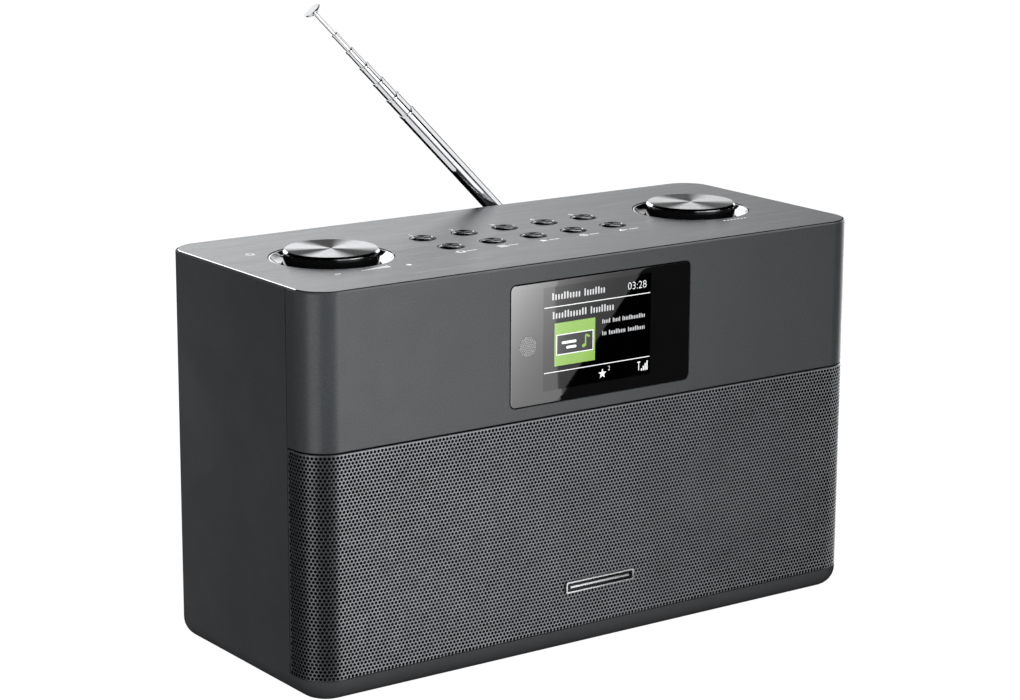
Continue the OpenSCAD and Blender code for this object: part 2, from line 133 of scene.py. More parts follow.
def hole(outline, share=1.0):
    """The same outline as a hole, which grows by a share of the plate's inset."""
    return lambda inset: outline(-inset * share)


def fixed(points):
    """An outline function for a small shape with no bevel."""
    return lambda inset: list(points)


def eased(points, radius=0.2, steps=3, closed=False):
    """A section with its corners rounded. A point's third value is its own radius."""
    count = len(points)
    out = []
    for i, point in enumerate(points):
        here = Vector(point[:2])
        if not closed and i in (0, count - 1):
            out.append(tuple(here))
            continue
        before, after = Vector(points[i - 1][:2]), Vector(points[(i + 1) % count][:2])
        own = point[2] if len(point) > 2 else radius
        reach = min(own, 0.45 * (here - before).length, 0.45 * (after - here).length)
        if reach < 1e-4:
            out.append(tuple(here))
            continue
        start = here + (before - here).normalized() * reach
        end = here + (after - here).normalized() * reach
        for k in range(steps + 1):
            t = k / steps
            out.append(tuple(start * (1 - t) ** 2 + here * 2 * t * (1 - t) + end * t * t))
    return out


def lathe(section, steps=96, closed=False):
    """A section of (radius, height) points spun round +Z."""
    verts, faces, rings = [], [], []
    for r, z in section:
        if r < 1e-6:
            rings.append([len(verts)])
            verts.append((0.0, 0.0, z))
        else:
            rings.append(list(range(len(verts), len(verts) + steps)))
            verts += [(r * math.cos(t), r * math.sin(t), z)
                      for t in np.linspace(0, 2 * math.pi, steps, endpoint=False)]
    pairs = list(zip(rings, rings[1:])) + ([(rings[-1], rings[0])] if closed else [])
    for a, b in pairs:
        for k in range(steps):
            m = (k + 1) % steps
            face = [a[k % len(a)], a[m % len(a)], b[m % len(b)], b[k % len(b)]]
            face = list(dict.fromkeys(face))
            if len(face) > 2:
                faces.append(tuple(face))
    return verts, faces


def slab(outlines, section, caps=(0, -1)):
    """A plate. outlines are functions of an inset, the outer one first and holes after it;
    section is (inset, height) pairs from one face to the other; caps lists the faces to fill."""
    verts, faces, rings = [], [], []
    for inset, height in section:
        row = []
        for outline in outlines:
            points = outline(inset)
            row.append(list(range(len(verts), len(verts) + len(points))))
            verts += [(p[0], p[1], height) for p in points]
        rings.append(row)
    for low, high in zip(rings, rings[1:]):
        for a, b in zip(low, high):
            count = len(a)
            faces += [(a[k], a[(k + 1) % count], b[(k + 1) % count], b[k]) for k in range(count)]
    for row in (rings[end] for end in caps):
        flat = [i for loop in row for i in loop]
        loops = [[Vector((verts[i][0], verts[i][1], 0)) for i in loop] for loop in row]
        faces += [tuple(flat[i] for i in tri) for tri in tessellate_polygon(loops)]
    return verts, faces


def upright(x=0.0, y=0.0, z=0.0):
    return Matrix.Translation((x, y, z))


def facing(sign, x=0.0, z=0.0):
    """Shapes drawn in X and Z whose own +Z points out of the front (-1) or the back (1)."""
    return Matrix(((1, 0, 0, x), (0, 0, sign, 0), (0, 1, 0, z), (0, 0, 0, 1)))


def front(x=0.0, z=0.0):
    return facing(-1, x, z)


def back(x=0.0, z=0.0):
    return facing(1, x, z)


class Shape:
    """Collects solids, then makes them one piece of the scene."""

    def __init__(self):
        self.verts, self.faces, self.marks = [], [], []

    def add(self, solid, place=None, mark=0):
        verts, faces = solid
        base = len(self.verts)
        place = place or Matrix.Identity(4)
        self.verts += [tuple(place @ Vector(v)) for v in verts]
        self.faces += [tuple(base + i for i in f) for f in faces]
        self.marks += [mark] * len(faces)
        return self

    def build(self, name, looks, sharp=32.0):
        """Makes the object; a face that repeats another one is left out."""
        bm = bmesh.new()
        made = [bm.verts.new(ORIGIN + Vector(v) * MM) for v in self.verts]
        for face, mark in zip(self.faces, self.marks):
            try:
                bm.faces.new([made[i] for i in face]).material_index = mark
            except ValueError:
                pass
        bmesh.ops.remove_doubles(bm, verts=bm.verts[:], dist=1e-7)
        bmesh.ops.dissolve_degenerate(bm, edges=bm.edges[:], dist=1e-8)
        bmesh.ops.recalc_face_normals(bm, faces=bm.faces[:])
        mesh = bpy.data.meshes.new(name)
        bm.to_mesh(mesh)
        bm.free()
        for look in looks:
            mesh.materials.append(look)
        mesh.shade_smooth()
        mesh.set_sharp_from_angle(angle=math.radians(sharp))
        made = bpy.data.objects.new(name, mesh)
        bpy.context.scene.collection.objects.link(made)
        return made

    def make(self, name, slot, looks=(), body="cabinet", nodes=(), edge=0.0, carve=(), sharp=32.0):
        """Builds the piece, cuts other shapes out of it, rounds its edges and hands it to the frame.
        looks are the materials of marks 0, 1, 2 and so on; the slot's own one is the default."""
        looks = [LOOKS[look] for look in looks or [slot]]
        made = self.build(name, looks, sharp)
        for shape in carve:
            tool = shape.build(name + "_tool", looks[:1])
            cut = made.modifiers.new("cut", "BOOLEAN")
            cut.operation, cut.solver, cut.object = "DIFFERENCE", "EXACT", tool
            settle(made)
            bpy.data.objects.remove(tool)
        if edge:
            rim = made.modifiers.new("edge", "BEVEL")
            rim.width, rim.segments, rim.limit_method = edge * MM, 2, "ANGLE"
            rim.angle_limit = math.radians(sharp)
        made.modifiers.new("flats", "WEIGHTED_NORMAL").keep_sharp = True
        settle(made)
        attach(made, body)
        if nodes:
            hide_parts(*nodes)
        return made


def settle(piece):
    """Applies a piece's modifiers."""
    ready = piece.evaluated_get(bpy.context.evaluated_depsgraph_get())
    mesh = bpy.data.meshes.new_from_object(ready)
    piece.modifiers.clear()
    piece.data = mesh


# ---- Materials ----


def tone(*values):
    """A colour from display values of 0 to 255, as the shader wants it."""
    scaled = [v / 255 for v in values]
    return tuple(c / 12.92 if c <= 0.04045 else ((c + 0.055) / 1.055) ** 2.4 for c in scaled) + (1.0,)


knob_mids = {side: measure(side + "_knob_cap")[0] for side in ("volume", "select")}
BUTTONS = [f"preset_button_{i}" for i in range(1, 6)]
BUTTONS += ["home_button", "menu_button", "favourite_button", "alarm_button", "back_button"]
button_mids = {name: measure(name)[0] for name in BUTTONS}


def in_frame(point):
    return ORIGIN + Vector(point) * MM


LOOKS = {}


class Look:
    """A procedural material: one Principled shader with layers of detail hung on it."""

    def __init__(self, name, colour, rough, metallic=0.0, **sockets):
        LOOKS[name] = material = bpy.data.materials.new(name)
        material.use_nodes = True
        self.tree = material.node_tree
        self.shader = self.tree.nodes["Principled BSDF"]
        self.tinted, self.normal = tone(*colour)[:3], None
        own = {"Base_Color": tone(*colour), "Roughness": rough, "Metallic": metallic, **sockets}
        for key, value in own.items():
            self.shader.inputs[key.replace("_", " ")].default_value = value
        self.where = self.node("TexCoord", {}, {}, "Object")

    def node(self, kind, settings, inputs, output=0):
        """Adds a node. An input is a number, a vector or the output of another node."""
        made = self.tree.nodes.new("ShaderNode" + kind)
        for key, value in settings.items():
            setattr(made, key, value)
        for key, value in inputs.items():
            if isinstance(value, bpy.types.NodeSocket):
                self.tree.links.new(value, made.inputs[key])
            else:
                made.inputs[key].default_value = value
        return made.outputs[output]

    def calc(self, operation, *values):
        return self.node("Math", {"operation": operation}, dict(enumerate(values)))

    def drive(self, name, value):
        """Lets a node's output set one of the shader's inputs."""
        self.tree.links.new(value, self.shader.inputs[name])

    def noise(self, size, stretch=(1, 1, 1), detail=3.0, centre=(0, 0, 0)):
        """Noise whose grain is size millimetres across, longer where stretch is above one."""
        grain = [1 / (size * MM * s) for s in stretch]
        spot = self.node("Mapping", {}, {"Vector": self.where, "Location": centre, "Scale": grain})
        return self.node("TexNoise", {}, {"Vector": spot, "Scale": 1.0, "Detail": detail}, "Fac")

    def beside(self, middle):
        """Places measured from an upright axis through middle."""
        offset = (-middle[0], -middle[1], 0)
        return self.node("Mapping", {}, {"Vector": self.where, "Location": offset})

    def rings(self, middle, pitch):
        """Rings round an upright axis through middle, pitch millimetres apart."""
        flat = self.node("VectorMath", {"operation": "MULTIPLY"}, {0: self.beside(middle), 1: (1, 1, 0)})
        away = self.node("VectorMath", {"operation": "LENGTH"}, {0: flat}, "Value")
        wave = self.calc("SINE", self.calc("MULTIPLY", away, 2 * math.pi / (pitch * MM)))
        return self.calc("MULTIPLY_ADD", wave, 0.5, 0.5)

    def highlight_sectors(self, middle):
        """Three unequal sectors round an upright axis through middle: painted highlights and painted dark
        reflections of a spun face.
        """
        place = self.beside(middle)
        x, y = (self.node("SeparateXYZ", {}, {"Vector": place}, axis) for axis in "XY")
        turn = self.calc("ARCTAN2", y, x)
        uneven = self.calc("MULTIPLY", self.calc("SINE", turn), -0.68)
        wave = self.calc("COSINE", self.calc("ADD", self.calc("MULTIPLY", turn, 3.0), uneven))
        return self.calc("MULTIPLY_ADD", wave, 0.5, 0.5)

    def ranged(self, value, low, high, start=0.3, end=0.7):
        """Maps the span from start to end onto low to high."""
        inputs = {"Value": value, "From Min": start, "From Max": end, "To Min": low, "To Max": high}
        return self.node("MapRange", {}, inputs, "Result")

    def tint(self, value, dark, light=1.0, start=0.3, end=0.7):
        """Multiplies the colour by dark where value is low and by light where it is high."""
        scale = self.ranged(value, dark, light, start, end)
        self.tinted = self.node("VectorMath", {"operation": "SCALE"}, {0: self.tinted, "Scale": scale})
        self.drive("Base Color", self.tinted)

    def roughen(self, value, low, high):
        self.drive("Roughness", self.ranged(value, low, high))

    def bump(self, value, depth):
        """Adds relief, depth millimetres high."""
        inputs = {"Height": value, "Strength": 1.0, "Distance": depth * MM}
        if self.normal is not None:
            inputs["Normal"] = self.normal
        self.normal = self.node("Bump", {}, inputs)
        self.drive("Normal", self.normal)

    def grain(self, axis):
        """Stretches highlights along circles round an axis of the piece."""
        self.drive("Tangent", self.node("Tangent", {"direction_type": "RADIAL", "axis": axis}, {}))


def layered(name, colour, rough, metallic, tints, haze, relief=None, **sockets):
    """A look with layers of noise. A tint is (grain in mm, detail, dark, light), haze is (grain,
    detail, lowest roughness, highest roughness) and relief is (grain, detail, depth in mm)."""
    look = Look(name, colour, rough, metallic, **sockets)
    for size, detail, dark, light in tints:
        look.tint(look.noise(size, detail=detail), dark, light)
    look.roughen(look.noise(haze[0], detail=haze[1]), *haze[2:])
    if relief:
        look.bump(look.noise(relief[0], detail=relief[1]), relief[2])


def moulded(name, colour, rough, grain=0.35, depth=0.012, **sockets):
    """Moulded plastic: a fine spark texture, faint mottling and uneven sheen."""
    layered(name, colour, rough, 0.0, [(26, 2, 0.93, 1.05), (0.8, 4, 0.94, 1.06)],
            (6, 4, rough - 0.04, rough + 0.05), (grain, 3, depth), **sockets)


def plated(name, colour, rough):
    """Polished or turned metal: faint waviness, fine scratches and a little haze."""
    layered(name, colour, rough, 1.0, [(4, 3, 0.96, 1.02)], (2.5, 5, rough * 0.8, rough * 1.25 + 0.01),
            (3.0, 2, 0.0015))


def gloss(name, colour, rough, wave=0.002, **sockets):
    """Glossy plastic or glass: faint smears, and waves of a given depth."""
    layered(name, colour, rough, 0.0, [(9, 2, 0.9, 1.08)], (5, 5, rough * 0.7, rough * 1.5),
            (8, 1, wave), **sockets)


def lit(name, colour, strength, rough=0.35):
    """A lit mark on the screen, or a printed mark whose glow is painted light: the colour gives light of its
    own.
    """
    layered(name, colour, rough, 0.0, [(0.3, 2, 0.9, 1.05)], (0.5, 2, rough * 0.9, rough * 1.2),
            Emission_Color=tone(*colour), Emission_Strength=strength)


def spun(name, colour, rough, middle, dark):
    """A face turned on a lathe: fine rings, and three broad bright sectors round the middle that are painted
    highlights; dark is the colour's share left between them, in painted dark reflections.
    """
    look = Look(name, colour, rough, 1.0, Anisotropic=0.5, Anisotropic_Rotation=0.25,
                Specular_Tint=(0.3, 0.3, 0.3, 1))
    # Painted highlights: the colour drops to dark between three bright sectors, as a spun face's reflections
    # would.
    look.tint(look.highlight_sectors(middle), dark, 1.05, 0.12, 0.8)
    look.tint(look.rings(middle, 0.42), 0.9, 1.04, 0, 1)
    look.tint(look.noise(3, detail=3), 0.95, 1.03)
    look.roughen(look.noise(1.2, detail=4), rough - 0.03, rough + 0.04)
    look.bump(look.rings(middle, 0.42), 0.0012)
    look.grain("Z")


def brushed(name, colour, rough, anisotropy=0.75):
    """Sheet brushed along X: short and long strokes of different width."""
    look = Look(name, colour, rough, 1.0, Anisotropic=anisotropy)
    fine = look.noise(0.22, stretch=(90, 1, 1), detail=4)
    strokes = look.noise(0.9, stretch=(34, 1, 1), detail=3, centre=(3, 1, 2))
    bands = look.noise(4.0, stretch=(22, 1, 1), detail=2, centre=(7, 5, 1))
    look.tint(fine, 0.8, 1.12)
    look.tint(strokes, 0.84, 1.07)
    look.tint(bands, 0.95, 1.03)
    look.roughen(strokes, rough - 0.03, rough + 0.05)
    look.bump(fine, 0.005)
    look.bump(strokes, 0.0012)
    look.grain("X")


def woven(name, colour):
    """Pressed paper or coated cloth: fibres and a soft crossed weave."""
    look = Look(name, colour, 0.85, Sheen_Weight=0.2)
    look.tint(look.noise(1.2, stretch=(4, 1, 1), detail=4), 0.7, 1.25)
    look.tint(look.noise(1.2, stretch=(1, 1, 4), detail=4), 0.8, 1.2)
    look.roughen(look.noise(2, detail=3), 0.78, 0.92)
    look.bump(look.noise(0.5, detail=4), 0.05)


def board():
    """Green circuit board with copper tracks both ways under the lacquer."""
    look = Look("circuit_board", (22, 84, 46), 0.35, Coat_Weight=0.4)
    look.tint(look.noise(5, stretch=(6, 1, 1), detail=1), 0.6, 1.25, 0.48, 0.52)
    look.tint(look.noise(5, stretch=(1, 6, 1), detail=1, centre=(4, 2, 0)), 0.75, 1.1, 0.48, 0.52)
    look.roughen(look.noise(3, detail=3), 0.28, 0.44)
    look.bump(look.noise(2, stretch=(5, 1, 1), detail=1), 0.02)


moulded("cabinet_plastic", (88, 89, 91), 0.5, Specular_IOR_Level=0.1)
moulded("inner_plastic", (22, 22, 23), 0.6, Specular_IOR_Level=0.25)
moulded("rear_plastic", (44, 45, 47), 0.55, 0.5, 0.03)
moulded("label_film", (150, 152, 154), 0.45)
# Painted shade: the grille holes' walls and the sheet's back are near black so that the holes look dark.
moulded("grille_hole_painted_shade", (10, 10, 11), 0.7)
moulded("basket_metal", (52, 52, 54), 0.45)
moulded("magnet_ferrite", (48, 47, 47), 0.7, 0.6, 0.05)
moulded("soft_rubber", (26, 26, 27), 0.75, 0.4, 0.02)
moulded("socket_plastic", (26, 26, 27), 0.45)
moulded("switch_plastic", (46, 46, 48), 0.5)
moulded("plunger_plastic", (224, 219, 208), 0.45)
layered("front_paint", (84, 88, 90), 0.34, 0.0, [(60, 1, 0.96, 1.04), (0.7, 3, 0.86, 1.14)],
        (8, 4, 0.31, 0.37), (0.45, 2, 0.01), Specular_IOR_Level=0.5)
layered("perforated_metal", (144, 147, 150), 0.36, 0.68, [(20, 2, 0.93, 1.05), (0.6, 3, 0.9, 1.08)],
        (3, 4, 0.32, 0.42), (0.4, 2, 0.008))
brushed("brushed_plate", (168, 171, 174), 0.3)
brushed("badge_metal", (222, 223, 225), 0.24, 0.5)
brushed("module_metal", (150, 152, 155), 0.3, 0.3)
brushed("bare_aluminium", (190, 192, 195), 0.35, 0.3)
plated("polished_metal", (226, 227, 229), 0.07)
plated("spun_aluminium", (206, 208, 210), 0.1)
plated("antenna_chrome", (236, 237, 239), 0.05)
plated("shaft_steel", (176, 178, 180), 0.22)
plated("screw_steel", (60, 60, 62), 0.3)
gloss("knob_black", (20, 20, 21), 0.12, Coat_Weight=0.3)
gloss("button_gloss", (11, 11, 12), 0.14, Specular_IOR_Level=0.35)
gloss("display_glass", (24, 24, 25), 0.015, 0.0002)
gloss("screen_black", (3, 3, 4), 0.015, 0.0002, Specular_IOR_Level=0.42)
woven("cone_paper", (44, 43, 44))
woven("dust_cap_cloth", (40, 40, 42))
board()
# The white print gives light of its own: a painted glow, as the print is no lamp.
lit("white_print_painted_glow", (236, 237, 238), 0.85)
lit("screen_white", (238, 240, 242), 0.8, 0.05)
lit("screen_grey", (210, 212, 214), 0.6, 0.05)
lit("screen_green", (152, 196, 94), 0.5, 0.05)
lit("screen_dark", (54, 55, 56), 0.4, 0.05)
# The sensor's dots give light of their own: a painted glow, as the sensor is no lamp.
lit("sensor_grey_painted_glow", (150, 152, 154), 0.3, 0.05)

for row in frame["record"]["subparts"]:
    cad = frame["nodes"][row["node"]].data
    cad.materials.clear()
    cad.materials.append(LOOKS[row["material_slot"]])

# ---- Cabinet ----


def cabinet_section():
    """Inset and height of the cabinet's outside: round foot, upright walls, chamfered lip, ledge."""
    foot = [(BOTTOM_R * (1 - math.sin(t)), BOTTOM_R * (1 - math.cos(t)))
            for t in np.linspace(0, math.pi / 2, 11)]
    return foot + [(0, LIP_TOP - LIP_CHAMFER), (LIP_CHAMFER, LIP_TOP), (LIP_DEPTH, UNDER_PLATE)]


def block(low, high):
    """A box between two corners."""
    (x0, y0, z0), (x1, y1, z1) = low, high
    ring = [(x0, y0), (x1, y0), (x1, y1), (x0, y1)]
    return slab([fixed(ring)], [(0, z0), (0, z1)])


def make_cabinet():
    outside = Shape().add(slab([rounded(WIDTH, DEPTH, CORNER_R, steps=16)], cabinet_section()))
    inside = Shape().add(slab([rounded(WIDTH - 2 * WALL, DEPTH - 2 * WALL, CORNER_R - WALL)],
                              [(0, WALL), (0, 2 * RIM_TOP)]))
    ahead = Shape().add(block((-WIDTH, -DEPTH, STRIP_TOP), (WIDTH, SEAM_Y, 2 * RIM_TOP)))
    behind = []
    for grow, start in ((-14, 0), (0.6, REAR_FACE - 1.6)):       # the opening, and the cover's rebate
        cut = slab([rounded(rear_size.x + grow, rear_size.z + grow, 6)], [(0, start), (0, DEPTH)])
        behind.append(Shape().add(cut, back(rear_mid.x, rear_mid.z)))
    outside.make("cabinet_body", "cabinet_plastic", nodes=["cabinet_shell"], edge=0.22,
                 carve=[inside, ahead] + behind)


# ---- The wrapped front: distance along the outside from the middle, and depth inwards ----

FLAT = WIDTH / 2 - CORNER_R
BEND = CORNER_R * math.pi / 2
WRAP_END = FLAT + BEND + (SEAM_Y - SEAM_GAP) - (FRONT_Y + CORNER_R)


def wrapped(s, z, depth):
    """Points in the cabinet of places on the wrapped front, as arrays."""
    s, z, depth = np.broadcast_arrays(np.asarray(s, float), z, depth)
    a = np.abs(s)
    turn = np.clip((a - FLAT) / CORNER_R, 0, math.pi / 2)
    past = np.maximum(a - FLAT - BEND, 0)
    x = np.minimum(a, FLAT) + (CORNER_R - depth) * np.sin(turn)
    y = FRONT_Y + CORNER_R - (CORNER_R - depth) * np.cos(turn) + past
    return np.stack([np.sign(s) * x, y, z], axis=-1)


def make_front_panel():
    """The painted panel: it follows the bend on both sides, ends in the rim's lip at the top and
    has the display's window. A row is (inset, depth, height of the top, depth of the top)."""
    low, thick, ease = panel_mid.z - panel_size.z / 2, 2.2, 0.25
    bends = list(np.linspace(FLAT, FLAT + BEND, 17))
    section = [(0.4, thick, UNDER_PLATE, thick), (0, thick - 0.4, UNDER_PLATE, thick - 0.4),
               (0, 0.8, UNDER_PLATE, LIP_DEPTH), (0, 0.5, LIP_TOP, LIP_CHAMFER),
               (0, ease, LIP_TOP - LIP_CHAMFER / 2, LIP_CHAMFER / 2),
               (ease, 0, LIP_TOP - LIP_CHAMFER, 0)]
    window = hole(rounded(lens_size.x + 0.4, lens_size.z + 0.4, 2.5, lens_mid.x, lens_mid.z))
    verts, faces, rows = [], [], []
    for inset, depth, top, top_depth in section:
        ends = bends + [WRAP_END - inset]
        run = [-b for b in reversed(ends)] + ends
        loops = ([(s, low + inset, depth) for s in run], [(s, top, top_depth) for s in run],
                 [(p[0], p[1], depth) for p in window(inset * 0.6)])
        row = []
        for loop in loops:
            row.append(list(range(len(verts), len(verts) + len(loop))))
            verts += loop
        rows.append(row)
    for (la, ua, pa), (lb, ub, pb) in zip(rows, rows[1:]):
        loop_a, loop_b = la + ua[::-1], lb + ub[::-1]
        n = len(loop_a)
        faces += [(loop_a[i], loop_a[(i + 1) % n], loop_b[(i + 1) % n], loop_b[i]) for i in range(n)]
        m = len(pa)
        faces += [(pa[i], pa[(i + 1) % m], pb[(i + 1) % m], pb[i]) for i in range(m)]
    for lower, upper, pane in (rows[0], rows[-1]):
        half = len(lower) // 2
        for i in range(len(lower) - 1):
            if i != half - 1:
                faces.append((lower[i], lower[i + 1], upper[i + 1], upper[i]))
        rim = [lower[half - 1], lower[half], upper[half], upper[half - 1]]
        flat = rim + pane
        loops = [[Vector((verts[i][0], verts[i][1], 0)) for i in part] for part in (rim, pane)]
        faces += [tuple(flat[i] for i in tri) for tri in tessellate_polygon(loops)]
    s, z, depth = np.array(verts).T
    placed = [tuple(p) for p in wrapped(s, z, depth)]
    Shape().add((placed, faces)).make("front_face", "front_paint", nodes=["front_panel"])


# ---- Perforated grille ----

HOLE_PITCH = 1.505
HOLE_R = 0.61
GRILLE_T = 0.8
GRILLE_PARTS = 4


def grille_sheet(first, last, columns, rows, low, high, step):
    """The flat pattern between two distances along the front, as places (s, z, depth) and triangles.
    Every hole sits in a hexagonal cell, and the zigzag ends of the cells are filled to the rim."""
    half, rise = HOLE_PITCH / 2, step / 3
    base = low + (high - low - (rows - 1) * step) / 2 - 0.2
    cells = []
    for j in range(rows):
        count = columns - (j % 2)
        for i in range(count):
            centre = 2 * i - (count - 1)
            if first <= centre * half < last:
                cells.append((centre, 3 * j))
    cells = np.array(cells)
    around = np.array([(1, 1), (0, 2), (-1, 1), (-1, -1), (0, -2), (1, -1)])
    corners = (cells[:, None, :] + around[None]).reshape(-1, 2)
    keys, index = np.unique(corners, axis=0, return_inverse=True)
    index = index.reshape(-1, 6)
    places = [np.column_stack([keys[:, 0] * half, base + keys[:, 1] * rise, np.zeros(len(keys))])]
    turns = np.radians(np.arange(12) * 30 + 30)
    circle = np.column_stack([HOLE_R * np.cos(turns), HOLE_R * np.sin(turns)])
    middles = np.column_stack([cells[:, 0] * half, base + cells[:, 1] * rise])
    holes = (middles[:, None, :] + circle[None]).reshape(-1, 2)
    places.append(np.column_stack([holes, np.zeros(len(holes))]))
    ring = len(keys) + np.arange(len(cells))[:, None] * 12 + np.arange(12)[None]
    tris = []
    for k in range(6):
        a, b = index[:, k], index[:, (k + 1) % 6]
        h0, h1, h2 = (ring[:, (2 * k + n) % 12] for n in range(3))
        tris += [np.column_stack([a, b, h1]), np.column_stack([a, h1, h0]), np.column_stack([b, h2, h1])]
    tris = [np.concatenate(tris)]
    lookup = {tuple(key): i for i, key in enumerate(keys)}
    total = len(keys) + len(holes)
    extra = []

    def strip(path, outer, outer_edge):
        """Fills between a zigzag path and the straight rim, and rolls the rim over its edge."""
        nonlocal total
        start = total
        extra.extend([(s, z, 0.0) for s, z in outer] + [(s, z, 0.2) for s, z in outer_edge])
        total += 2 * len(path)
        n = len(path)
        for i in range(n - 1):
            a, b = path[i], path[i + 1]
            c, d = start + i + 1, start + i
            e, f = start + n + i + 1, start + n + i
            tris.append(np.array([(a, b, c), (a, c, d), (d, c, e), (d, e, f)]))
        return start, start + n - 1

    by_row = {j: cells[cells[:, 1] == 3 * j][:, 0] for j in range(rows)}
    ends = []
    for j, sign, z_in, z_out in ((0, -1, low + 0.2, low), (rows - 1, 1, high - 0.2, high)):
        path = []
        for centre in sorted(by_row[j]):
            path += [(centre - 1, 3 * j + sign), (centre, 3 * j + 2 * sign), (centre + 1, 3 * j + sign)]
        path = list(dict.fromkeys(path))
        s = [p[0] * half for p in path]
        ends.append(strip([lookup[p] for p in path], [(v, z_in) for v in s], [(v, z_out) for v in s]))
    for side, corner, reached in ((-1, 0, first <= -WRAP_END), (1, 1, last >= WRAP_END)):
        if not reached:
            continue
        path = []
        for j in range(rows):
            edge = max(by_row[j] * side) * side + side
            path += [(edge, 3 * j - 1), (edge, 3 * j + 1)]
        z = [low + 0.2] + [base + p[1] * rise for p in path] + [high - 0.2]
        chain = [ends[0][corner]] + [lookup[p] for p in path] + [ends[1][corner]]
        strip(chain, [(side * (WRAP_END - 0.2), v) for v in z], [(side * WRAP_END, v) for v in z])
    return np.concatenate(places + [np.array(extra)]), np.concatenate(tris)


def make_grille():
    """The sheet in four lengths that share their cut edges, so that each stays a workable mesh."""
    low, high = grille_mid.z - grille_size.z / 2, grille_mid.z + grille_size.z / 2
    step = HOLE_PITCH * math.sqrt(3) / 2
    columns = int(2 * (WRAP_END - 0.4) / HOLE_PITCH)
    rows = int((high - low - 1.6) / step) + 1
    cuts = np.linspace(-WRAP_END - 1, WRAP_END + 1, GRILLE_PARTS + 1)
    for part in range(GRILLE_PARTS):
        places, tris = grille_sheet(cuts[part], cuts[part + 1], columns, rows, low, high, step)
        count = len(places)
        flat = places[:, :2]
        a, b, c = (flat[tris[:, k]] for k in range(3))
        area = (b[:, 0] - a[:, 0]) * (c[:, 1] - a[:, 1]) - (b[:, 1] - a[:, 1]) * (c[:, 0] - a[:, 0])
        tris[area < 0] = tris[area < 0][:, ::-1]
        edges = np.concatenate([tris[:, [0, 1]], tris[:, [1, 2]], tris[:, [2, 0]]])
        code = np.sort(edges, axis=1) @ np.array([count, 1])
        _, at, times = np.unique(code, return_index=True, return_counts=True)
        rim = edges[at[times == 1]]
        walls = np.concatenate([np.column_stack([rim[:, 1], rim[:, 0], rim[:, 0] + count]),
                                np.column_stack([rim[:, 1], rim[:, 0] + count, rim[:, 1] + count])])
        faces = np.concatenate([tris, tris[:, ::-1] + count, walls])
        outer = wrapped(places[:, 0], places[:, 1], places[:, 2])
        inner = wrapped(places[:, 0], places[:, 1], GRILLE_T)
        points = np.array(ORIGIN) + np.concatenate([outer, inner]) * MM
        mesh = bpy.data.meshes.new("speaker_grille")
        mesh.vertices.add(len(points))
        mesh.vertices.foreach_set("co", points.astype(np.float32).ravel())
        mesh.loops.add(faces.size)
        mesh.loops.foreach_set("vertex_index", faces.astype(np.int32).ravel())
        mesh.polygons.add(len(faces))
        mesh.polygons.foreach_set("loop_start", np.arange(0, faces.size, 3, dtype=np.int32))
        mesh.update(calc_edges=True)
        mesh.validate()
        unroll(mesh, flat, tris, rim, faces)
        mesh.materials.append(LOOKS["perforated_metal"])
        # The holes' walls and the sheet's back get painted shade, near black.
        mesh.materials.append(LOOKS["grille_hole_painted_shade"])
        kinds = np.concatenate([np.zeros(len(tris)), np.ones(len(tris) + 2 * len(rim))])
        mesh.polygons.foreach_set("material_index", kinds.astype(np.int32))
        mesh.shade_smooth()
        mesh.set_sharp_from_angle(angle=math.radians(40))
        made = bpy.data.objects.new(f"speaker_grille_{part + 1}", mesh)
        bpy.context.scene.collection.objects.link(made)
        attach(made, "cabinet")
        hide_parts("speaker_grille")


def unroll(mesh, flat, tris, rim, faces):
    """A texture layout: outside and inside sheets side by side, each hole's wall lying in its hole."""
    low, high = flat.min(0) - 0.6, flat.max(0) + 0.6
    span = (high - low).max()
    uv = (flat - low) / span * np.array([0.49, 0.98]) + 0.005
    shift = np.array([0.5, 0.0])
    along = flat[rim[:, 1]] - flat[rim[:, 0]]
    away = np.column_stack([along[:, 1], -along[:, 0]])
    away /= np.maximum(np.linalg.norm(away, axis=1, keepdims=True), 1e-9)
    drop = away * 0.2 / span * np.array([0.49, 0.98])
    a, b = uv[rim[:, 0]], uv[rim[:, 1]]
    corners = [uv[tris], uv[tris[:, ::-1]] + shift, np.stack([b, a, a + drop], axis=1),
               np.stack([b, a + drop, b + drop], axis=1)]
    layer = mesh.uv_layers.new(name="OFBake")
    layer.data.foreach_set("uv", np.concatenate(corners).astype(np.float32).ravel())


# ---- Top plate, wells, knobs and buttons ----

WELL_R = measure("volume_well")[1].x / 2 - 2
BUTTON_R = measure("home_button")[1].x / 2 - 0.85
BUTTON_RISE = button_mids["home_button"].z + measure("home_button")[1].z / 2 - PLATE_TOP
KNOB_R = measure("volume_knob_cap")[1].x / 2
KNOB_TOP = knob_mids["volume"].z + measure("volume_knob_cap")[1].z / 2


def make_top_plate():
    inside_lip = (plate_size.x - 0.7, plate_size.y - 0.7, CORNER_R - 0.75)
    outlines = [rounded(*inside_lip, plate_mid.x, plate_mid.y, steps=16)]
    outlines += [hole(disc(WELL_R + 0.3, m.x, m.y, 128), 0.25) for m in knob_mids.values()]
    outlines += [hole(disc(BUTTON_R + 0.3, m.x, m.y, 48), 0.25) for m in button_mids.values()]
    walls = [(0.1, PLATE_LOW), (0, PLATE_LOW + 0.1), (0, PLATE_TOP - 0.2)]
    cut_edge = [(0, PLATE_TOP - 0.2), (0.2, PLATE_TOP)]
    plate = Shape().add(slab(outlines, walls, caps=[0]), mark=2)
    plate.add(slab(outlines, cut_edge, caps=[]), mark=1)
    plate.add(slab(outlines, cut_edge[-1:] * 2, caps=[-1]))
    plate.make("top_plate_brushed", "brushed_plate", ["brushed_plate", "polished_metal", "inner_plastic"],
               nodes=["top_plate"], sharp=20)


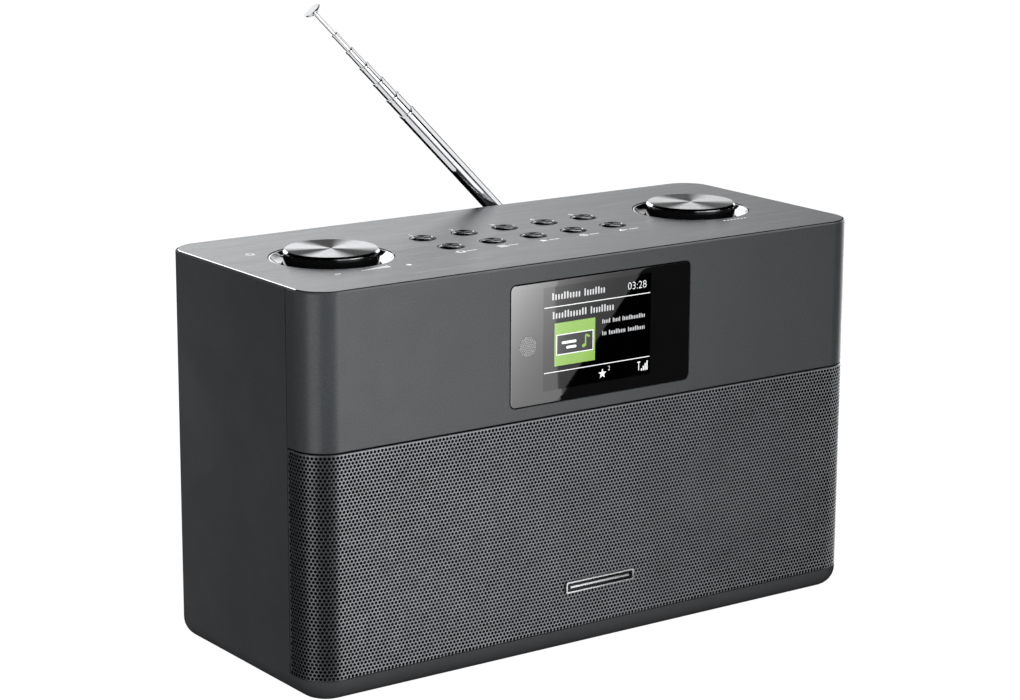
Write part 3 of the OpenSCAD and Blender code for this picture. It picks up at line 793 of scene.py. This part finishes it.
def make_knob(side):
    """A polished well, a black skirt in it and a spun cap whose bright and dark sectors are painted
    highlights.
    """
    mid = knob_mids[side]
    axis = upright(mid.x, mid.y, PLATE_TOP)
    rise = KNOB_TOP - PLATE_TOP
    dish = eased([(18, -6.2), (WELL_R + 2, -6.2), (WELL_R + 2, -4.6), (WELL_R, -4.6, 0.1),
                  (WELL_R, -0.25, 0.08), (WELL_R - 0.5, -0.25, 0.08), (WELL_R - 0.75, -0.5, 0.1),
                  (20.2, -1.75, 0.9), (18, -2.75, 0.3)], 0.15, closed=True)
    Shape().add(lathe(dish, 128, closed=True), axis).make(
        f"{side}_dish", "polished_metal", nodes=[side + "_well"])
    skirt_r, hub_r, shaft_r = KNOB_R - 0.1, 5.2, 3.02
    skirt = eased([(0, rise - 1.85), (14, rise - 1.85), (14, rise - 1.25), (skirt_r, rise - 1.25, 0.1),
                   (skirt_r, -5.4, 0.3), (skirt_r - 1.8, -5.4), (skirt_r - 1.8, 0.1), (hub_r, 0.1),
                   (hub_r, -4.6), (shaft_r, -4.6), (shaft_r, 0.05), (0, 0.05)], 0.1)
    Shape().add(lathe(skirt, 128), axis).make(
        f"{side}_skirt", "knob_black", body=side + "_knob", nodes=[side + "_knob_core"])
    # The cap's face gets painted highlights: its dark sectors keep only 0.04 of the colour.
    spun(f"spun_{side}", (216, 218, 220), 0.24, in_frame(mid), 0.04)
    edge = (KNOB_R - 0.7, rise)
    lip = eased([(KNOB_R - 0.62, rise, 0.06), (KNOB_R, rise - 0.75, 0.08), (KNOB_R, rise - 1.2, 0.05),
                 (13.9, rise - 1.2), (13.9, rise - 1.8), (0, rise - 1.8)], 0.05)
    cap = Shape().add(lathe([(0, rise), edge], 128), axis, 1).add(lathe([edge] + lip[1:], 128), axis)
    cap.make(f"{side}_cap", "spun_aluminium", ["spun_aluminium", f"spun_{side}"], body=side + "_knob",
             nodes=[side + "_knob_cap"])


def make_button(name):
    """A black cone with a thin bright ring round its spun top, whose bright sectors are painted highlights,
    and the collar that holds it in.
    """
    mid = button_mids[name]
    axis = upright(mid.x, mid.y, PLATE_TOP)
    stem = mid.z - measure(name)[1].z / 2 - PLATE_TOP
    face_r, collar_r, stem_r = BUTTON_R - 1.25, BUTTON_R + 0.85, 2.2
    ring = eased([(face_r, BUTTON_RISE - 0.12), (face_r + 0.1, BUTTON_RISE, 0.05),
                  (face_r + 0.26, BUTTON_RISE - 0.07)], 0.04)
    side = eased([ring[-1], (BUTTON_R, 0, 0.15), (BUTTON_R, -1.8, 0.02), (collar_r, -1.8),
                  (collar_r, -2.6), (stem_r, -2.6), (stem_r, stem), (0, stem)], 0.05)
    # The top gets painted highlights: bright sectors between sectors painted black.
    spun(f"spun_{name}", (180, 182, 184), 0.2, in_frame(mid), 0.0)
    shape = Shape().add(lathe(side, 56), axis)
    shape.add(lathe([(0, ring[0][1]), ring[0]], 56), axis, 1)
    shape.add(lathe(ring, 56), axis, 2)
    shape.make(f"{name}_cap", "button_gloss", ["button_gloss", f"spun_{name}", "polished_metal"],
               body=name, nodes=[name])


# ---- Printed marks ----


def bar(width, height, x=0.0, y=0.0, turn=0.0):
    """A flat rounded bar, as an outline."""
    points = rounded(width, height, min(width, height) / 2.02, 0, 0, 3)(0)
    c, s = math.cos(math.radians(turn)), math.sin(math.radians(turn))
    return [(x + c * u - s * v, y + s * u + c * v) for u, v in points]


def ring_mark(radius, line, x=0.0, y=0.0, start=0.0, end=360.0):
    """A ring, or part of one, as an outline."""
    outer = arc(x, y, radius, start, end, 20)
    inner = arc(x, y, radius - line, end, start, 20)
    return outer + inner


def star(radius, x=0.0, y=0.0):
    """A five-pointed star, as an outline."""
    turns = [math.radians(90 + 36 * k) for k in range(10)]
    reach = [radius if k % 2 == 0 else radius * 0.42 for k in range(10)]
    return [(x + r * math.cos(t), y + r * math.sin(t)) for r, t in zip(reach, turns)]


def blocks(width, height, x, y):
    """A row of small blocks of uneven height that stands in for a word."""
    count = max(2, round(width / (0.6 * height)))
    pitch = width / count
    tall = [1.3 if k % 5 == 0 or k % 7 == 4 else 1.0 for k in range(count)]
    return [bar(pitch * 0.52, height * t, x + pitch * (k + 0.4), y + height * (t - 1) / 2)
            for k, t in enumerate(tall)]


def figures(text, size, weight=-0.016):
    """Numerals as outlines with their own thickness; returns a solid."""
    curve = bpy.data.curves.new("figures", "FONT")
    curve.body, curve.size, curve.align_x, curve.align_y = text, size, "CENTER", "CENTER"
    curve.extrude, curve.offset, curve.resolution_u = 0.012, weight * size, 3
    holder = bpy.data.objects.new("figures", curve)
    bpy.context.scene.collection.objects.link(holder)
    ready = holder.evaluated_get(bpy.context.evaluated_depsgraph_get())
    mesh = bpy.data.meshes.new_from_object(ready)
    verts = [tuple(v.co) for v in mesh.vertices]
    faces = [tuple(p.vertices) for p in mesh.polygons]
    bpy.data.objects.remove(holder)
    bpy.data.meshes.remove(mesh)
    return verts, faces


def marks(shape, outlines, place, mark=0, thick=0.024):
    """Adds thin plates with the given outlines."""
    for points in outlines:
        shape.add(slab([fixed(points)], [(0, -thick / 2), (0, thick / 2)]), place, mark)


def make_top_print():
    """White marks on the top plate: knob, button and standby symbols and preset numbers."""
    shape = Shape()
    volume, select = knob_mids["volume"], knob_mids["select"]
    level = PLATE_TOP + 0.013
    steps = [bar(0.72, 0.6 + 0.26 * k, 1.25 * k - 5.6, 0.13 * k) for k in range(10)]
    marks(shape, steps, upright(volume.x + 1.5, -26.4, level))
    turns = [bar(1.2, 0.62, 1.7 * k - 5.1) for k in range(7)]
    marks(shape, turns, upright(select.x + 0.6, -25.3, level))
    marks(shape, [bar(2.6, 0.62)], upright(-96.9, -26.5, level))
    marks(shape, [bar(2.6, 0.62), bar(0.62, 2.6)], upright(-67.6, -26.9, level))
    marks(shape, [ring_mark(1.7, 0.45, 0, 0, 125, 415), bar(0.45, 1.8, 0, 1.3)],
          upright(-104.7, 20.2, level))
    for i in range(5):
        mid = button_mids[f"preset_button_{i + 1}"]
        shape.add(figures(str(i + 1), 3.4, 0.0), upright(mid.x - 0.3, mid.y + 7.6, level))
    symbols = {
        "home_button": [bar(3.2, 0.5, 0, -1.2), bar(0.5, 1.8, -1.3, -0.4), bar(0.5, 1.8, 1.3, -0.4),
                        bar(2.7, 0.5, -1.0, 1.0, 40), bar(2.7, 0.5, 1.0, 1.0, -40)],
        "menu_button": [bar(3.8, 0.52, 0, y) for y in (-1.2, 0.0, 1.2)],
        "favourite_button": [star(1.9)],
        "alarm_button": [ring_mark(1.7, 0.45), bar(0.42, 1.2, 0, 0.4), bar(1.0, 0.42, 0.35, 0)],
        "back_button": [bar(3.6, 0.5, 0.2, 0)] + [bar(1.9, 0.5, -1.0, 0.6 * up, 42 * up) for up in (1, -1)],
    }
    for name, outlines in symbols.items():
        mid = button_mids[name]
        marks(shape, outlines, upright(mid.x - 2.4, mid.y - 9.8, level))
        marks(shape, [bar(4.6, 0.55)], upright(mid.x + 2.4, mid.y - 9.8, level))
    # The marks take the white print's painted glow.
    shape.make("top_print", "brushed_plate", ["white_print_painted_glow"])


# ---- Display ----


def make_display():
    """The window, the lit picture in it and the dotted light sensor beside it."""
    place = front(lens_mid.x, lens_mid.z)
    face = -FRONT_Y
    behind = face - lens_size.y
    window = rounded(lens_size.x, lens_size.z, 2.3, steps=10)
    section = [(0.1, behind), (0, behind + 0.1), (0, face - 0.28), (0.06, face - 0.1), (0.28, face)]
    Shape().add(slab([window], section), place).make(
        "display_window", "display_glass", nodes=["display_lens"])
    lit_w, lit_h, lit_x, lit_z = 48.5, 37.9, measure("display_module")[0].x, 118.8 - lens_mid.z
    area = slab([rounded(lit_w, lit_h, 0.3, lit_x, lit_z)], [(0, face + 0.002), (0, face + 0.012)])
    Shape().add(area, place).make("picture_area", "display_glass", ["screen_black"])

    left, right = lit_x - lit_w / 2, lit_x + lit_w / 2
    top, low = lit_z + lit_h / 2, lit_z - lit_h / 2
    screen = Shape()
    level = place @ Matrix.Translation((0, 0, face + 0.024))
    white, grey, green, dark = range(4)
    marks(screen, [bar(lit_w - 0.6, 0.3, lit_x, y) for y in (top - 7.4, low + 6.6)], level, white)
    titles = [(13.0, 3.6, 3.9), (9.8, 17.9, 3.9), (15.6, 3.9, 10.8), (11.0, 20.8, 10.8)]
    for width, x, y in titles:
        marks(screen, blocks(width, 2.1, left + x, top - y), level, grey)
    lines = [(3.9, 0), (3.6, 4.8), (10.6, 9.2)], [(2.2, 0), (7.8, 3.1), (8.0, 11.8)]
    for row, words in enumerate(lines):
        for width, x in words:
            marks(screen, blocks(width, 1.3, left + 26.2 + x, top - 15.6 - 4.4 * row), level, grey)
    for text, size, x, y in (("03:28", 4.0, right - 6.4, top - 4.0), ("2", 2.4, left + 29.6, low + 4.6)):
        screen.add(figures(text, size), level @ Matrix.Translation((x, y, 0)), white)
    tile_x = left + 14.0
    for width, height, y, under, over, mark in ((18.2, 15.8, 21.4, -0.006, 0.006, green),
                                                (16.6, 7.6, 21.6, 0, 0.01, white),
                                                (15.9, 6.9, 21.6, 0, 0.02, dark)):
        tile = slab([rounded(width, height, 0.1, tile_x, top - y)], [(0, under), (0, over)])
        screen.add(tile, level, mark)
    raised = level @ Matrix.Translation((0, 0, 0.012))
    marks(screen, [bar(6.6, 1.0, left + 11.4, top - 21.0), bar(4.6, 1.0, left + 12.4, top - 22.9)],
          raised, white, 0.03)
    note = [bar(1.7, 1.3, left + 18.0, top - 23.2, 20), bar(0.6, 4.2, left + 18.8, top - 21.4),
            bar(2.2, 0.8, left + 19.7, top - 19.7, -24)]
    marks(screen, note, raised, green, 0.03)
    marks(screen, [star(1.9, left + 26.6, low + 3.0)], level, white)
    signal = [bar(0.55, 0.9 * (k + 1), right - 3.9 + 0.85 * k, low + 1.6 + 0.45 * (k + 1))
              for k in range(4)]
    mast = [bar(0.35, 3.2, right - 5.2, low + 3.5), bar(1.5, 0.35, right - 5.2, low + 5.0)]
    marks(screen, signal + mast, level, white)
    screen.make("screen_picture", "display_glass",
                ["screen_white", "screen_grey", "screen_green", "screen_dark"])

    pitch, reach = 0.78, 4.0
    spot = front(-33.0, 117.3)
    sensor = Shape().add(slab([disc(reach, steps=40)], [(0, 0.002), (0, 0.006)]),
                         spot @ Matrix.Translation((0, 0, face)), 1)
    for j in range(-8, 9):
        for i in range(-8, 9):
            x, y = (i + 0.5 * (j % 2)) * pitch, j * pitch * 0.866
            if math.hypot(x, y) < reach - 0.2:
                sensor.add(slab([disc(0.27, x, y, 8)], [(0, -0.002), (0, 0.012)]),
                           spot @ Matrix.Translation((0, 0, face + 0.01)))
    # The dots take the sensor's painted glow.
    sensor.make("light_sensor_dots", "display_glass", ["sensor_grey_painted_glow", "screen_black"])


def make_badge():
    """A plain bar with no name on it: a bright rim round a dark inlay and a raised bright core."""
    face, w, h, t = -FRONT_Y, badge_size.x, badge_size.z, badge_size.y
    rim = [rounded(w, h, 0.8), hole(rounded(w - 1.9, h - 1.9, 0.4))]
    section = [(0, face), (0, face + t - 0.3), (0.06, face + t - 0.12), (0.2, face + t)]
    inlay = slab([rounded(w - 1.5, h - 1.5, 0.4)], [(0, face), (0, face + 0.25)])
    core = slab([rounded(w - 4.2, 1.15, 0.5)], [(0, face + 0.2), (0, face + t - 0.3),
                                                (0.1, face + t - 0.12), (0.25, face + t - 0.05)])
    place = front(badge_mid.x, badge_mid.z)
    badge = Shape().add(slab(rim, section), place).add(inlay, place, 1).add(core, place)
    badge.make("badge_bar", "badge_metal", ["badge_metal", "knob_black"], nodes=["badge_plate"])


# ---- Antenna ----

pivot = measure("antenna_pin")[0]
tip_mid = measure("antenna_tip")[0]
LEAN = math.degrees(math.atan2(pivot.x - tip_mid.x, tip_mid.z - pivot.z))
ON_ANTENNA = upright(*pivot) @ Matrix.Rotation(math.radians(-LEAN), 4, "Y")
BASE_TUBE = 88.8                 # from the elbow's pin to the end of the thickest tube
TUBE_STEP = 9.0                  # how far each inner tube shows
TUBE_R, TUBE_DROP, TUBE_WALL = 3.2, 0.4, 0.32
INNER_LEN = 74.8
ROD_TOP = BASE_TUBE + 5 * TUBE_STEP + 11.2


def turned(name, section, steps, place, slot, node, body="cabinet", closed=False):
    """A piece spun round an axis, which stands for one CAD node."""
    Shape().add(lathe(section, steps, closed), place).make(name, slot, body=body, nodes=[node])


def tube_section(radius, start, end):
    """A drawn tube whose outer end is rolled in to hold the next one."""
    bore, lip = radius - TUBE_WALL, radius - TUBE_DROP + 0.05
    return eased([(bore, start), (radius, start, 0.05), (radius, end - 1.5, 0.2),
                  (radius + 0.13, end - 1.15, 0.25), (radius + 0.13, end - 0.6, 0.3),
                  (radius - 0.05, end - 0.08, 0.15), (lip, end, 0.06), (lip, end - 0.5, 0.05),
                  (bore, end - 0.9, 0.1)], 0.05, closed=True)


def sideways(x=0.0):
    """Places a flat shape across the elbow, x millimetres to the side of its middle."""
    return ON_ANTENNA @ Matrix(((0, 0, 1, x), (1, 0, 0, 0), (0, 1, 0, 0), (0, 0, 0, 1)))


def make_antenna():
    """The swivel head with its fork, and the elbow, six tubes, rod and end knob that lean on it."""
    base = Shape()
    tongue = arc(0, 0, 2.7, 180, 360, 16) + [(2.7, 8.6), (-2.7, 8.6)]
    bore = arc(0, 0, 1.25, 0, 360, 24)[:-1]
    base.add(slab([fixed(tongue), fixed(bore)], [(0, -1.35), (0, 1.35)]), sideways())
    root = eased([(0, 8.0), (2.2, 8.0, 0.1), (TUBE_R, 9.2, 0.3), (TUBE_R, 12.0), (TUBE_R - TUBE_WALL, 12.0),
                  (0, 12.0)], 0.1)
    base.add(lathe(root[:-2], 48), ON_ANTENNA)           # open where the tube starts
    base.add(lathe(tube_section(TUBE_R, 11.9, BASE_TUBE), 64, closed=True), ON_ANTENNA)
    base.make("antenna_base_tube", "antenna_chrome", body="antenna_tube_1", nodes=["antenna_tube_1"])
    for i in range(2, 7):
        end = BASE_TUBE + (i - 1) * TUBE_STEP
        section = tube_section(TUBE_R - (i - 1) * TUBE_DROP, end - INNER_LEN, end)
        tube = f"antenna_tube_{i}"
        turned(f"antenna_stage_{i}", section, 56, ON_ANTENNA, "antenna_chrome", tube, tube, closed=True)
    rod = [(0, ROD_TOP - INNER_LEN), (0.8, ROD_TOP - INNER_LEN), (0.8, ROD_TOP), (0, ROD_TOP)]
    turned("antenna_thin_rod", eased(rod, 0.15), 40, ON_ANTENNA, "antenna_chrome", "antenna_rod",
           "antenna_rod")
    dome = [(3.5 * math.cos(t), ROD_TOP + 2.0 + 1.05 * math.sin(t)) for t in np.linspace(0, math.pi / 2, 12)]
    tip = eased([(0, ROD_TOP), (1.45, ROD_TOP, 0.2), (1.5, ROD_TOP + 0.9, 0.15), (3.3, ROD_TOP + 1.6, 0.2),
                 (3.5, ROD_TOP + 1.95, 0.1)], 0.1) + dome[:-1] + [(0, ROD_TOP + 3.05)]
    turned("antenna_end_knob", tip, 72, ON_ANTENNA, "antenna_chrome", "antenna_tip", "antenna_rod")
    head = eased([(0, REAR_FACE - 14.6), (5.6, REAR_FACE - 14.6), (5.6, REAR_FACE - 13.2),
                  (4, REAR_FACE - 13.2), (4, REAR_FACE + 1.1), (6.2, REAR_FACE + 1.1, 0.3),
                  (6.2, REAR_FACE + 2.4, 0.35), (0, REAR_FACE + 2.4)], 0.1)
    swivel = Shape().add(lathe(head, 72), back(pivot.x, pivot.z))
    reach = pivot.y - REAR_FACE - 1.9
    cheek = arc(0, 0, 3.4, -90, 90, 16) + [(-reach, 3.2), (-reach, -3.2)]
    for side in (-1, 1):
        swivel.add(slab([fixed(cheek)], [(0, -0.9), (0, 0.9)]), sideways(side * 2.55))
    swivel.make("antenna_swivel_head", "antenna_chrome", body="antenna_swivel", nodes=["antenna_swivel"],
                edge=0.18)
    rivet = eased([(0, -4.35), (1.0, -4.3, 0.2), (1.75, -3.95, 0.2), (1.75, -3.5), (1.2, -3.5), (1.2, 3.5),
                   (1.75, 3.5), (1.75, 3.95, 0.2), (1.0, 4.3, 0.2), (0, 4.35)], 0.08)
    across = ON_ANTENNA @ Matrix.Rotation(math.pi / 2, 4, "Y")
    turned("antenna_rivet", rivet, 40, across, "shaft_steel", "antenna_pin", "antenna_swivel")


# ---- Rear ----

port_mid = measure("bass_port")[0]
PORT_R = 11.0
DC_X = measure("dc_jack")[0].x
JACK_Z = 21.6
AUDIO_XS = (-62, -44)
SCREWS = [(x, rear_mid.z + z * (rear_size.z / 2 - 4.5)) for x in (-109.5, 0, 109.5) for z in (-1, 1)]
SCREWS += [(x, rear_mid.z) for x in (-109.5, 109.5)]


def make_rear():
    """The rear panel with its vents and openings, the port, the sockets' trims and the screws."""
    x, z = rear_mid.x, rear_mid.z
    outlines = [rounded(rear_size.x, rear_size.z, 6, steps=10)]
    outlines += [hole(disc(12.8, port_mid.x - x, port_mid.z - z)), hole(disc(7.2, pivot.x - x, pivot.z - z)),
                 hole(disc(4.4, DC_X - x, JACK_Z - z, 32))]
    outlines += [hole(disc(4.2, a - x, JACK_Z - z, 32)) for a in AUDIO_XS]
    outlines += [hole(rounded(2, 6, 0.99, 20 + 7 * i - x, 22 + 9 * row - z, 4))
                 for i in range(12) for row in range(2)]
    section = [(0, REAR_FACE - 1.6), (0, REAR_FACE - 0.3), (0.1, REAR_FACE - 0.08), (0.3, REAR_FACE)]
    Shape().add(slab(outlines, section), back(x, z)).make("rear_cover", "rear_plastic", nodes=["rear_panel"])
    r = PORT_R
    flare = [(r + 2.6 - 2.6 * math.cos(t), REAR_FACE - 1.4 + 2.6 * math.sin(t))
             for t in np.linspace(0, math.pi / 2, 9)]
    port = [(r, BACK_Y - 40)] + flare + [(r + 5.3, REAR_FACE + 1.2), (r + 6, REAR_FACE + 0.5),
                                         (r + 6, REAR_FACE), (r + 1.5, REAR_FACE), (r + 1.5, BACK_Y - 40)]
    turned("bass_port_flare", port, 96, back(port_mid.x, port_mid.z), "inner_plastic", "bass_port",
           closed=True)
    trims = Shape()
    ring = eased([(1.8, REAR_FACE - 0.2), (1.8, REAR_FACE + 0.25), (3.1, REAR_FACE + 0.25),
                  (3.1, REAR_FACE - 0.2)], 0.12, closed=True)
    for a in AUDIO_XS:
        trims.add(lathe(ring, 48, closed=True), back(a, JACK_Z))
    pin = eased([(0, REAR_FACE - 12.5), (1.0, REAR_FACE - 12.5), (1.0, REAR_FACE - 2.2, 0.3),
                 (0, REAR_FACE - 1.6)], 0.2)
    trims.add(lathe(pin, 32), back(DC_X, JACK_Z))
    trims.make("socket_trims", "polished_metal")
    label = slab([rounded(52, 24, 1.5)], [(0, REAR_FACE), (0.03, REAR_FACE + 0.08)])
    Shape().add(label, back(-66, 62)).make("blank_rating_label", "rear_plastic", ["label_film"])
    bush = eased([(4.05, REAR_FACE - 12.6), (7, REAR_FACE - 12.6), (7, REAR_FACE), (9, REAR_FACE, 0.05),
                  (9, REAR_FACE + 0.8, 0.35), (4.05, REAR_FACE + 0.8, 0.2)], 0.1, closed=True)
    turned("antenna_bush", bush, 72, back(pivot.x, pivot.z), "rear_plastic", "antenna_bracket", closed=True)
    screws = Shape()
    head = eased([(0, REAR_FACE - 9), (1.4, REAR_FACE - 8.6), (1.4, REAR_FACE), (2.8, REAR_FACE, 0.05),
                  (2.8, REAR_FACE + 0.8, 0.4), (1.8, REAR_FACE + 1.45, 0.5), (0, REAR_FACE + 1.5)], 0.1)
    slots = [Shape(), Shape()]
    for a, h in SCREWS:
        screws.add(lathe(head, 40), back(a, h))
        for slot, (width, height) in zip(slots, ((0.7, 3.0), (3.0, 0.7))):
            slot.add(slab([rounded(width, height, 0.1, steps=2)],
                          [(0, REAR_FACE + 0.7), (0, REAR_FACE + 3)]), back(a, h))
    screws.make("rear_cross_screws", "screw_steel", nodes=["rear_screws"], carve=slots)


def make_feet():
    """Four rubber feet: a wide rim, and a shallow recess underneath."""
    low = -ORIGIN.z / MM
    radius, top = 8, 0.9
    section = eased([(0, low + 0.25), (5.2, low + 0.25, 0.2), (5.6, low, 0.2), (7.6, low, 0.5),
                     (radius, low + 0.6, 0.3), (radius, top), (0, top)], 0.2)
    middle, size = measure("feet")
    feet = Shape()
    for sx in (-1, 1):
        for sy in (-1, 1):
            x = middle.x + sx * (size.x / 2 - radius)
            feet.add(lathe(section, 64), upright(x, middle.y + sy * (size.y / 2 - radius)))
    feet.make("rubber_feet", "soft_rubber", nodes=["feet"])


make_cabinet()
make_front_panel()
make_grille()
make_top_plate()
for knob in knob_mids:
    make_knob(knob)
for button in button_mids:
    make_button(button)
make_top_print()
make_display()
make_badge()
make_antenna()
make_rear()
make_feet()

# ---- Camera, floor and light ----


def camera():
    """A long lens, a little above and to the left of the front."""
    view = bpy.data.cameras.new("camera")
    view.lens, view.sensor_width = 100.0, 36.0
    view.clip_end = 20.0
    holder = bpy.data.objects.new("camera", view)
    place = Vector((-0.60689, -0.84879, 0.35089))
    target = Vector((-0.00319, -0.00249, 0.10378))
    roll = Matrix.Rotation(math.radians(0.249), 4, "Z")
    turn = (target - place).to_track_quat("-Z", "Y").to_matrix().to_4x4()
    holder.matrix_world = Matrix.Translation(place) @ turn @ roll
    bpy.context.scene.collection.objects.link(holder)
    bpy.context.scene.camera = holder


def floor():
    """A white sheet that reflections and shadows leave alone."""
    bm = bmesh.new()
    bmesh.ops.create_grid(bm, x_segments=8, y_segments=8, size=4.0)
    mesh = bpy.data.meshes.new("floor")
    bm.to_mesh(mesh)
    bm.free()
    look = Look("floor_paper", (90, 90, 90), 0.9, Specular_IOR_Level=0.0,
                Emission_Color=(1, 1, 1, 1), Emission_Strength=1.0)
    look.tint(look.noise(40, detail=2), 0.99, 1.0)
    mesh.materials.append(LOOKS["floor_paper"])
    made = bpy.data.objects.new("floor", mesh)
    made.visible_glossy = made.visible_diffuse = made.visible_shadow = False
    bpy.context.scene.collection.objects.link(made)


def world():
    """White where the camera sees it; elsewhere an even soft fill that reflections do not show."""
    made = bpy.data.worlds.new("studio")
    bpy.context.scene.world = made
    made.cycles_visibility.glossy = False
    made.use_nodes = True
    nodes, links = made.node_tree.nodes, made.node_tree.links
    nodes.clear()
    path = nodes.new("ShaderNodeLightPath")
    seen, fill, mix = (nodes.new(n) for n in
                       ("ShaderNodeBackground", "ShaderNodeBackground", "ShaderNodeMixShader"))
    seen.inputs["Color"].default_value = (1, 1, 1, 1)
    fill.inputs["Color"].default_value = (1, 1, 1, 1)
    fill.inputs["Strength"].default_value = 0.17
    out = nodes.new("ShaderNodeOutputWorld")
    links.new(path.outputs["Is Camera Ray"], mix.inputs["Fac"])
    links.new(fill.outputs[0], mix.inputs[1])
    links.new(seen.outputs[0], mix.inputs[2])
    links.new(mix.outputs[0], out.inputs["Surface"])


def group(name, starts):
    """A collection of the pieces that a light is meant for."""
    made = bpy.data.collections.new(name)
    for piece in list(bpy.data.objects):
        if piece.name.startswith(starts):
            made.objects.link(piece)
    return made


def around(azimuth, elevation, distance, aim=(0, 0, 0.09), along=(0, 0, 1)):
    """A light's place: azimuth (0 is the front, 90 the right) and elevation in degrees, facing aim.
    along is the direction that the box's height follows."""
    a, e = math.radians(azimuth), math.radians(elevation)
    way = Vector((math.sin(a) * math.cos(e), -math.cos(a) * math.cos(e), math.sin(e)))
    side = Vector(along).cross(way).normalized()
    turn = Matrix((side, way.cross(side), way)).transposed().to_4x4()
    return Matrix.Translation(Vector(aim) + way * distance) @ turn


def soft_box(name, place, size, radiance, only=None, mirrored=True):
    """A rectangular light. radiance is what a mirror would show. A mirrored box shows in
    reflections alone, any other gives soft light alone; only limits it to some pieces."""
    lamp = bpy.data.lights.new(name, "AREA")
    lamp.shape, lamp.size, lamp.size_y = "RECTANGLE", size[0], size[1]
    lamp.energy = math.pi * size[0] * size[1] * radiance
    holder = bpy.data.objects.new(name, lamp)
    holder.matrix_world = place
    holder.visible_camera = False
    holder.visible_glossy = mirrored
    holder.visible_diffuse = not mirrored
    bpy.context.scene.collection.objects.link(holder)
    if only:
        holder.light_linking.receiver_collection = only
    return lamp


def fade(lamp, power, least=0.0):
    """Makes a box fade across its width, down to its least share."""
    lamp.use_nodes = True
    nodes, links = lamp.node_tree.nodes, lamp.node_tree.links
    where = nodes.new("ShaderNodeNewGeometry")
    split = nodes.new("ShaderNodeSeparateXYZ")
    curve, base = nodes.new("ShaderNodeMath"), nodes.new("ShaderNodeMath")
    curve.operation, base.operation = "POWER", "ADD"
    curve.inputs[1].default_value = power
    base.inputs[1].default_value = least
    links.new(where.outputs["Parametric"], split.inputs["Vector"])
    links.new(split.outputs["X"], curve.inputs[0])
    links.new(curve.outputs["Value"], base.inputs[0])
    links.new(base.outputs["Value"], nodes["Emission"].inputs["Strength"])


def lights():
    """A soft key and fills, and boxes that each shape the reflections of one kind of surface."""
    caps = tuple(f"{side}_cap" for side in knob_mids)
    body = group("seen_in_body", ("front_face", "cabinet_body"))
    grille = group("seen_in_grille", ("speaker_grille_",))
    front_sides = group("seen_in_sides", ("front_face", "speaker_grille_"))
    plate = group("seen_in_plate", ("top_plate",))
    top = group("seen_on_top", ("top_plate",) + caps)
    knobs = group("seen_in_knobs", caps)
    buttons = group("seen_in_buttons", tuple(f"{name}_cap" for name in button_mids))
    window = group("seen_in_lens", ("display_window", "picture_area", "screen_picture", "light_sensor"))
    antenna = group("seen_in_antenna", ("antenna",))

    soft_box("key", around(-8, 22, 0.55, (-0.10, -0.05, 0.09)), (0.34, 0.34), 4.2, mirrored=False)
    soft_box("side_fill", around(-100, 4, 0.11, (-0.123, 0.07, 0.085)), (0.06, 0.3), 1.1, mirrored=False)
    soft_box("rear_fill", around(165, 20, 0.7), (0.6, 0.5), 2.4, mirrored=False)

    soft_box("left_box", around(-63, 4, 0.9), (0.56, 0.9), 1.5, body)
    soft_box("front_box", around(20, -8, 0.9), (0.42, 0.8), 2.4)
    soft_box("overhead_box", around(62, 56, 1.1), (0.5, 0.5), 3.4, body)
    fade(soft_box("right_box", around(112, 0, 0.9), (1.2, 0.9), 7.0, front_sides), 1.2)
    soft_box("left_grille_box", around(-75, 4, 0.9), (0.4, 0.9), 1.3, grille)
    soft_box("right_grille_box", around(66, -8, 0.9), (0.45, 0.8), 1.0, grille)

    fade(soft_box("rear_box", around(153, 21, 1.4), (1.8, 0.62), 3.1), 1.05)
    soft_box("rear_left_box", around(-164, 28, 1.2), (0.7, 0.4), 2.2, plate)
    soft_box("front_top_box", around(12, 26, 1.2), (1.5, 0.6), 1.2, top)
    soft_box("knob_box", around(144, 17, 1.2), (1.3, 0.6), 1.7, knobs)
    soft_box("button_box", around(122, 50, 0.8), (0.4, 0.3), 1.8, buttons)

    # A tall box beside the window, whose edge slants across the glass.
    across, along = Vector((0.75, 0, -0.661)), Vector((0.661, 0, 0.75))
    width = 0.1
    corner = ORIGIN + Vector((0.2286, -0.351, 0.0305))
    turn = Matrix((-across, -along, Vector((0, -1, 0)))).transposed().to_4x4()
    place = Matrix.Translation(corner - across * width / 2) @ turn
    fade(soft_box("lens_box", place, (width, 0.26), 25.0, window), 2.4, 0.05)

    # Strips along the antenna give each tube its light and dark lines.
    leaning = (-0.707, 0, 0.707)
    middle, upper = (ORIGIN + (pivot + Vector(leaning) * up) * MM for up in (112, 122))
    for name, azimuth, elevation, distance, aim, size, radiance in (
            ("low", -68, -43, 0.012, upper, (0.0126, 0.144), 0.84),
            ("front", -6.9, -6.8, 0.012, middle, (0.008, 0.156), 0.9),
            ("side", 79.5, 10, 0.9, middle, (0.96, 1.2), 1.0),
            ("top", -165, 35, 0.9, middle, (2.0, 2.0), 1.0)):
        place = around(azimuth, elevation, distance, aim, leaning)
        soft_box(f"antenna_{name}_box", place, size, radiance, antenna)


camera()
floor()
world()
bpy.context.scene.view_settings.view_transform = "Standard"
lights()
